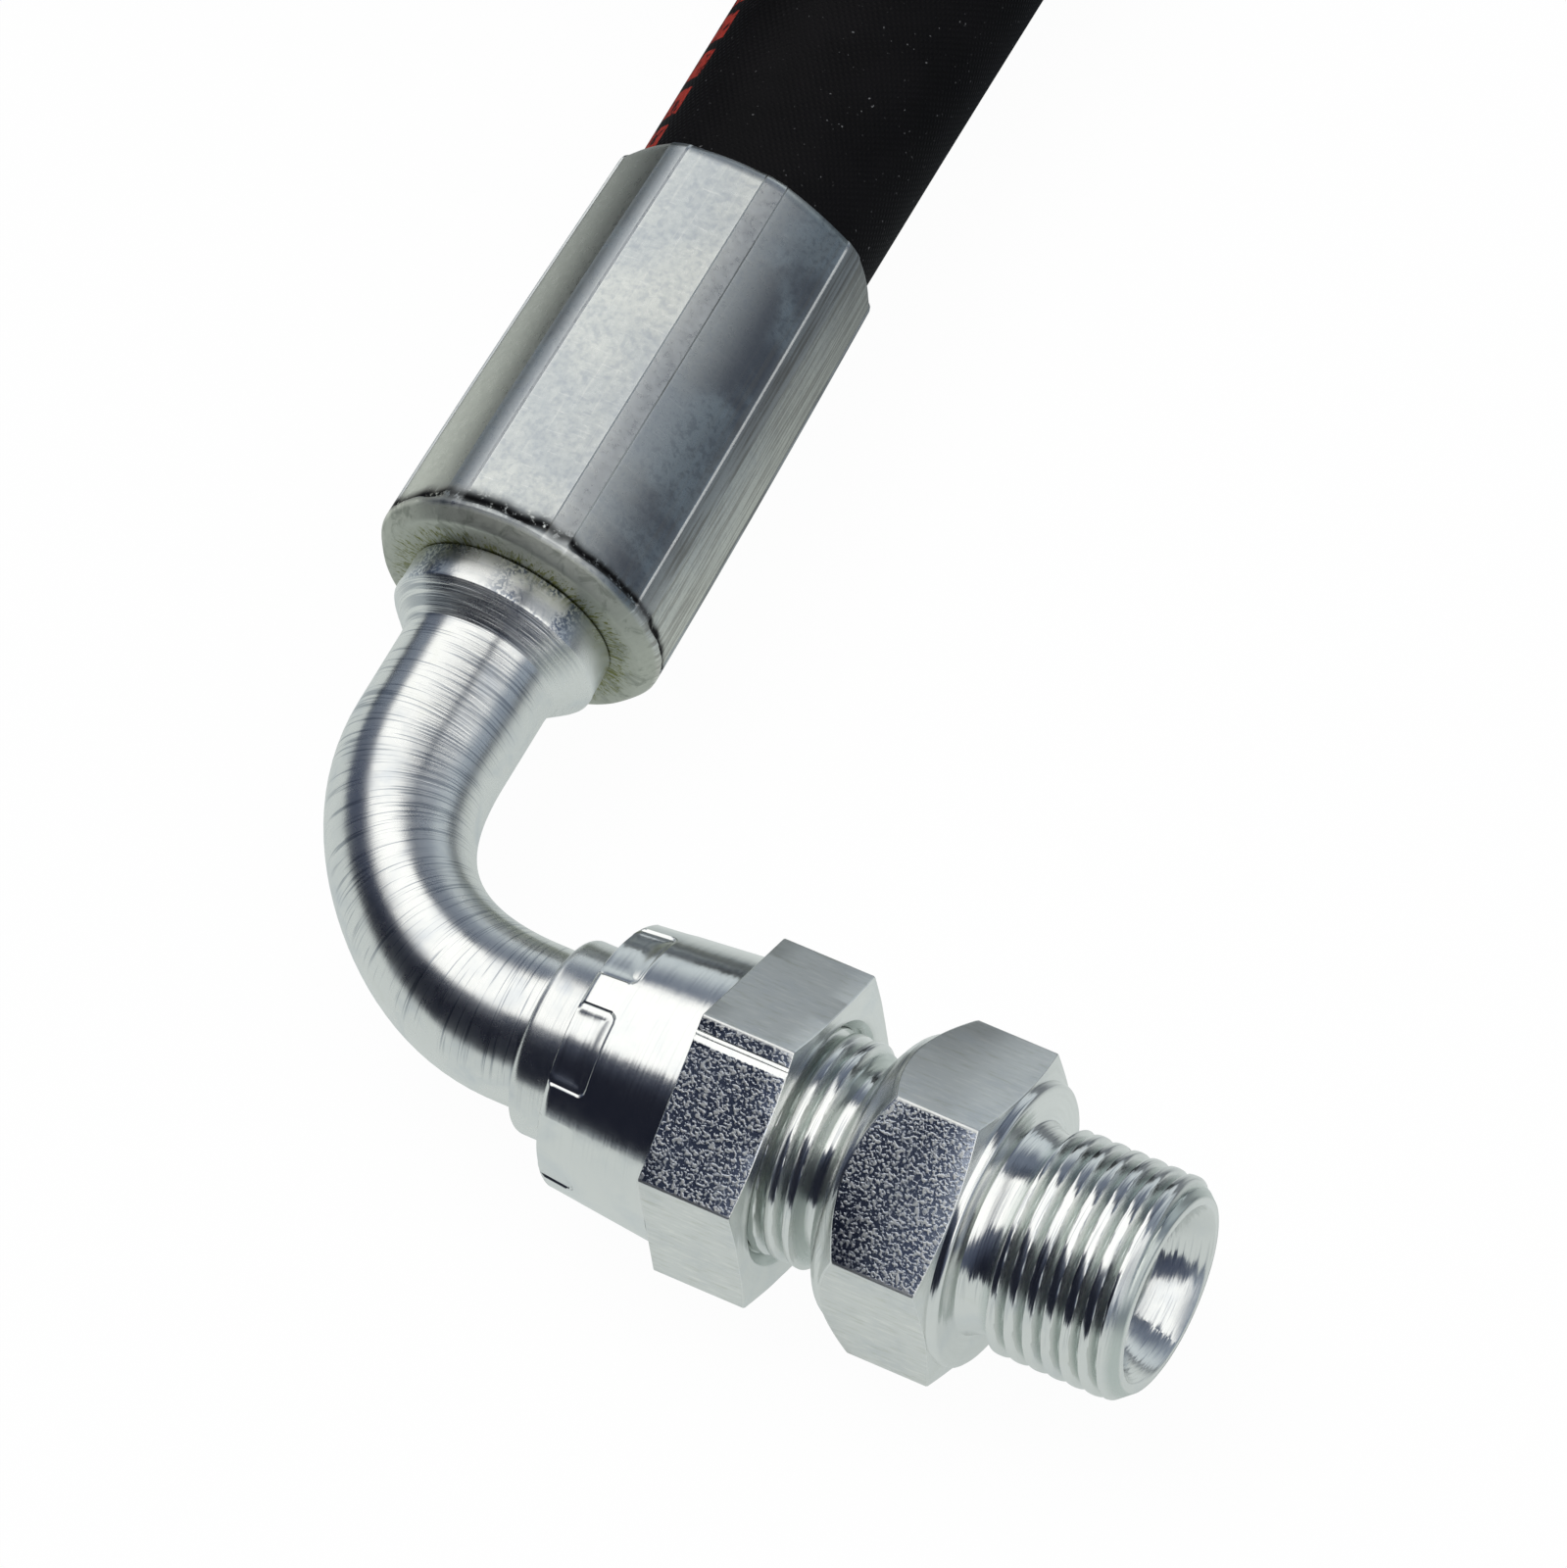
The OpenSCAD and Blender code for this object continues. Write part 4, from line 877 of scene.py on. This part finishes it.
def nut(name, place):
    """A swivel nut: rolled skirt with pressed windows, hexagon, thread and undercut."""
    edges = [WINDOW_PHASE + k * 360 / WINDOWS + sign * (WINDOW_ARC / 2 + d)
             for k in range(WINDOWS) for sign in (-1, 1) for d in np.arange(-4.2, 1.3, 0.6)]
    score = [SCORE_AT + d for d in (-1.7, -1.55, -1.4, -0.8, -0.25, -0.05, 1.0, 2.1, 2.4)]
    phi = angles(3, CORNERS + edges + score)
    side = hexagon(phi)
    front = np.maximum((side - FLAT_R) * 0.35 / (CORNER_R + 0.2 - FLAT_R), 0.03)
    groove = np.interp(phi - SCORE_AT, *zip(*SCORE))
    collar_bore = COLLAR_R + 2 * SWIVEL_GAP
    flange_bore, lip_bore = FLANGE_R + SWIVEL_GAP, GROOVE_R + SWIVEL_GAP
    rim = [(0, collar_bore), (0, SKIRT_RIM_R - 0.6), (0.12, SKIRT_RIM_R - 0.36), (0.35, SKIRT_RIM_R - 0.1)]
    stations = [(z, np.minimum(r, skirt_radius(0) - WINDOW_DEPTH * window_mask(phi, 0.0))) for z, r in rim]
    for z in np.concatenate([[0.6], np.arange(0.9, 2.9, 0.4), np.arange(2.95, 4.3, 0.1),
                             [5, 6.5, 8, 9.5, 11, 11.45]]):
        stations.append((z, skirt_radius(z) - WINDOW_DEPTH * window_mask(phi, z)))
    z0 = NUT_HEX_Z
    stations += [(z0, SKIRT_BASE_R), (z0 + 0.01, side - 0.14), (z0 + 0.04, side - 0.06)]
    flat_from = len(stations)
    for t in (0.0, 0.25, 0.5, 0.75, 1.0):
        z = z0 + 0.13 + (NUT_HEX_LEN - front - 0.23) * t
        stations.append((z, side - groove))
    flat_to = len(stations)
    stations += [(NUT_LEN - np.maximum(front - 0.04, 0.02), side - 0.07 - groove * 0.6),
                 (NUT_LEN - 0.02, np.minimum(FLAT_R - 0.05, side)), (NUT_LEN, FLAT_R - 0.35),
                 (NUT_LEN, COUNTERSINK_R + 0.85), (NUT_LEN, COUNTERSINK_R + 0.2),
                 (NUT_LEN - 0.1, COUNTERSINK_R)]

    def bored(z):
        into = z - (NUT_LEN - COUNTERSINK_LEN)
        return COUNTERSINK_R - 1 + into if into > 0 else MINOR_R

    thread_from = len(stations)
    nose, flange, groove_end, tip = (z - NUT_REAR for z in (NOSE_Z, FLANGE_Z, COLLAR_LEN, STEM_LEN))
    stations += thread_stations(SWIVEL_X + NUT_REAR, NUT_LEN - 0.2, tip + 0.35, phi, bored, inner=True)
    thread_to = len(stations)
    stations += [(tip + 0.2, UNDERCUT_R), (nose + 0.35, UNDERCUT_R), (nose + 0.3, flange_bore),
                 (flange - SWIVEL_PLAY, flange_bore), (flange - SWIVEL_PLAY, lip_bore),
                 (groove_end + SWIVEL_PLAY, lip_bore), (groove_end + 0.05, collar_bore), (0.15, collar_bore)]
    scored = (phi > SCORE_AT - 1.6) & (phi < SCORE_AT + 2.2)
    satin, rough = flat_masks(len(stations), phi, flat_from, flat_to, scored)
    root, calm = np.zeros_like(satin), np.zeros_like(satin)
    calm[:flat_to] = 0.82
    radii = grid(stations, phi)[1]
    root[thread_from:thread_to] = smooth(radii[thread_from:thread_to], 9.7, 10.4)
    return turned(name, place, phi, stations, sharp=32,
                  masks={"satin": satin, "rough": rough, "root": root, "calm": calm})


near_nut = nut("nut", placed((SWIVEL_X + NUT_REAR, 0, 0), (1, 0, 0)))
finish_piece(near_nut, turned_zinc, "zinc_plate", "swivel_nut", "swivel_nut")
far_nut_place = placed(FAR_FACE + (SHOULDER_LEN + NUT_REAR) * FAR_HEADING, FAR_HEADING, 150)
finish_piece(nut("far_nut", far_nut_place), turned_zinc, "zinc_plate", "far_swivel_nut", "far_swivel_nut")


# ---- adapter
def adapter():
    """The male-male adapter: two threads, domed hexagon, washer face, necks and seat cones."""
    phi = angles(2.5, CORNERS)
    side = hexagon(phi)
    tip_r, mouth_r, bore_r = 9.15, 8.3, 6.0
    cone_depth = (mouth_r - bore_r) / math.tan(math.radians(30))

    def end_limit(z):
        return tip_r + (THREAD_R - tip_r) * min(max(z, 0) / TIP_CHAMFER, 1)

    def inner_limit(z):
        run_out = 0.5
        into = max(z - MALE_LEN + run_out, 0) / run_out
        return min(end_limit(z), THREAD_R - (THREAD_R - RELIEF_R) * into)

    def outer_limit(z):
        neck_r, run_in = 9.2, 0.6
        start = neck_r + (THREAD_R - neck_r) * min((z - OUTER_Z) / run_in, 1)
        return min(end_limit(ADAPTER_LEN - z), start)

    stations = thread_stations(ADAPTER_X, 0.08, MALE_LEN, phi, inner_limit)
    first_thread = len(stations)
    stations += [(MALE_LEN + 0.15, RELIEF_R), (HEX_Z - 0.1, RELIEF_R)]
    dome = [(0, -4.7), (0.25, -4.1), (0.6, -3.2), (1.2, -2.1), (1.7, -1.2), (2.1, -0.68), (2.5, -0.32),
            (3.1, 0.0), (3.8, 0.75), (5.2, CORNER_R + 0.15 - FLAT_R)]
    dome_z, dome_r = (np.array(v) for v in zip(*[(z, FLAT_R + r) for z, r in dome]))
    top = np.interp(side, dome_r, dome_z)
    for t in (0.0, 0.08, 0.16, 0.25, 0.36, 0.47, 0.58, 0.68, 0.78, 0.87, 0.94, 0.98):
        z = top * t
        stations.append((HEX_Z + z, np.minimum(np.interp(z, dome_z, dome_r), side - 0.03)))
    flat_from = len(stations)
    hex_end = WASHER_Z - 1.6
    slope = 0.7 / (CORNER_R + 0.15 - WASHER_R)
    fall = np.maximum((CORNER_R + 0.15 - side) * slope, 0.02)
    for t in (0.0, 0.5, 1.0):
        stations.append((HEX_Z + top + 0.12 + (hex_end + fall - HEX_Z - top - 0.22) * t, side))
    flat_to = len(stations)
    rim = [(-0.92, 0.02), (-0.82, 0), (-0.38, 0), (-0.2, -0.08), (-0.04, -0.26), (0, -0.45)]
    stations += [(hex_end + fall, side - 0.06)] + [(WASHER_Z + z, WASHER_R + r) for z, r in rim]
    neck = [(0, 11.5), (0.02, 10.35), (0.15, 10.08), (0.5, 9.86), (1.2, 9.56), (2.0, 9.35)]
    stations += [(WASHER_Z + z, r) for z, r in neck]
    second = len(stations)
    stations += thread_stations(ADAPTER_X, OUTER_Z, ADAPTER_LEN - 0.08, phi, outer_limit)
    second_end = len(stations)
    # both ends alike, but for the cone's middle: tip face, seat cone, bore
    cone = [(0, tip_r - 0.12), (0, mouth_r + 0.15), (0.12, mouth_r - 0.02),
            (cone_depth / 2, (mouth_r + bore_r) / 2), (cone_depth - 0.1, bore_r + 0.06),
            (cone_depth + 0.15, bore_r)]
    stations += [(ADAPTER_LEN - z, r) for z, r in cone] + [(ADAPTER_LEN / 2, bore_r)]
    stations += (cone[:3] + cone[4:])[::-1]
    satin, rough = flat_masks(len(stations), phi, flat_from, flat_to, np.zeros(len(phi), bool))
    root = np.zeros_like(satin)
    radii = grid(stations, phi)[1]
    for a, b in ((0, first_thread), (second, second_end)):
        root[a:b] = 1 - smooth(radii[a:b], 9.6, 10.25)
    return turned("adapter", placed((ADAPTER_X, 0, 0), (1, 0, 0)), phi, stations, sharp=32,
                  masks={"satin": satin, "rough": rough, "root": root})


finish_piece(adapter(), turned_zinc, "zinc_plate", "port_adapter", "port_adapter")

# ---- carried-over CAD nodes
LAYERS = {"inner_tube": liner, "braid_interlayer": liner, "inner_braid": braid,
          "outer_braid": braid, "hose_cover": rubber}
for end in ("near", "far"):
    for layer, shader in LAYERS.items():
        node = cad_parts[f"{end}_{layer}"]
        node.data.materials.clear()
        node.data.materials.append(shader.material)


# ---- studio
def studio_world():
    """White to the camera. What the metal reflects is a dim room with two soft boxes overhead
    and a dark side behind the camera."""
    world = bpy.data.worlds.new("studio")
    bpy.context.scene.world = world
    world.use_nodes = True
    s = Nodes(world.node_tree)
    s.tree.nodes.clear()
    direction = s.node("TexCoord").outputs["Generated"]

    def along(axis):
        return s.vector("DOT_PRODUCT", {0: direction, 1: axis}, "Value")

    def strip(axis, low, high, edge):
        value = along(axis)
        return s.times(s.span(value, low - edge, low + edge), s.span(value, high - edge, high + edge, 1, 0))

    X, Y, Z = (1, 0, 0), (0, 1, 0), (0, 0, 1)
    # a dim room, paler low behind the object and darker at the top
    wall = s.mix(s.span(along(Y), 0.5, 0.85), (0.30, 0.35, 0.42), (0.67, 0.73, 0.76))
    sky = s.mix(s.span(along(Z), 0.2, 0.55), wall, (0.16, 0.19, 0.25))
    sky = s.mix(s.span(along(Z), 0.64, 0.8), sky, (0.06, 0.075, 0.11))
    # the camera's side goes over navy into black
    to_camera = along((0.55, 1, 0))
    above = s.span(along(Z), -0.03, 0.04)
    for low, high, colour in ((-0.35, 0.1, (0.07, 0.085, 0.13)), (-0.88, -0.5, (0.012, 0.014, 0.024))):
        sky = s.mix(s.times(s.span(to_camera, low, high, 1, 0), above), sky, colour)
    # a soft box overhead and a second one to its right, over the camera's shoulder
    soft_box = s.times(strip(X, -0.78, 0.32, 0.045), strip((0.3, 1, 0), -0.465, 0.5, 0.045))
    second_box = s.times(strip(X, 0.42, 0.87, 0.05), strip(Y, -0.6, 0.40, 0.05))
    upward = s.span(along(Z), 0.2, 0.34)
    lit = s.times(s.math("MAXIMUM", soft_box, second_box), upward)
    sky = s.mix(lit, sky, (1.32, 1.32, 1.30))
    path = s.node("LightPath").outputs
    seen = s.node("Background", {"Color": (1, 1, 1)}).outputs[0]
    room = s.node("Background", {"Color": sky}).outputs[0]
    mixed = s.node("MixShader", {0: path["Is Camera Ray"], 1: room, 2: seen}).outputs[0]
    s.tree.links.new(mixed, s.node("OutputWorld").inputs["Surface"])


def floor():
    """A pale floor that shows white to the camera, with the object's shadow on it."""
    half, under = 3.0, 0.0002
    mesh = bpy.data.meshes.new("floor")
    mesh.from_pydata([(a * half, b * half, FLOOR_Z * MM - under)
                      for a, b in ((-1, -1), (1, -1), (1, 1), (-1, 1))], [], [(0, 1, 2, 3)])
    plane = linked("floor", mesh)
    s = Shader("floor_white", Base_Color=(0.86, 0.87, 0.87), Roughness=0.9)
    path = s.node("LightPath").outputs
    mirrored = s.plus(path["Is Glossy Ray"], path["Is Transmission Ray"], clamp=True)
    # as the metal mirrors it, the paper glows grey-green near the object, with painted shade darkening it
    # behind the object and far off
    place = s.node("SeparateXYZ", {0: s.coords(kind="Object")}).outputs
    back = s.plus(s.times(place[0], 0.25), place[1])
    painted_falloff = s.math("MAXIMUM", s.span(back, 0.015, 0.1), s.span(s.math("ABSOLUTE", back), 0.2, 0.7))
    paper = s.mix(painted_falloff, (0.64, 0.69, 0.675), (0.07, 0.09, 0.11))
    glow = s.node("Emission", {"Color": s.mix(mirrored, (1, 1, 1), paper)}).outputs[0]
    to_camera, to_metal = 0.97, 0.82
    share = s.plus(s.times(path["Is Camera Ray"], to_camera), s.times(mirrored, to_metal), clamp=True)
    mixed = s.node("MixShader", {0: share, 1: s.bsdf.outputs[0], 2: glow}).outputs[0]
    s.tree.links.new(mixed, s.tree.nodes["Material Output"].inputs["Surface"])
    mesh.materials.append(s.material)


def lamp(name, position, target, size, watts):
    data = bpy.data.lights.new(name, "AREA")
    data.size, data.energy = size, watts
    obj = linked(name, data)
    obj.location = position
    obj.rotation_euler = (Vector(target) - Vector(position)).to_track_quat("-Z", "Y").to_euler()
    obj.visible_glossy = False


studio_world()
floor()
lamp("key", (-0.5, 0.1, 1.6), (-0.08, 0.05, 0), 0.9, 9)

bpy.context.scene.view_settings.view_transform = "Standard"
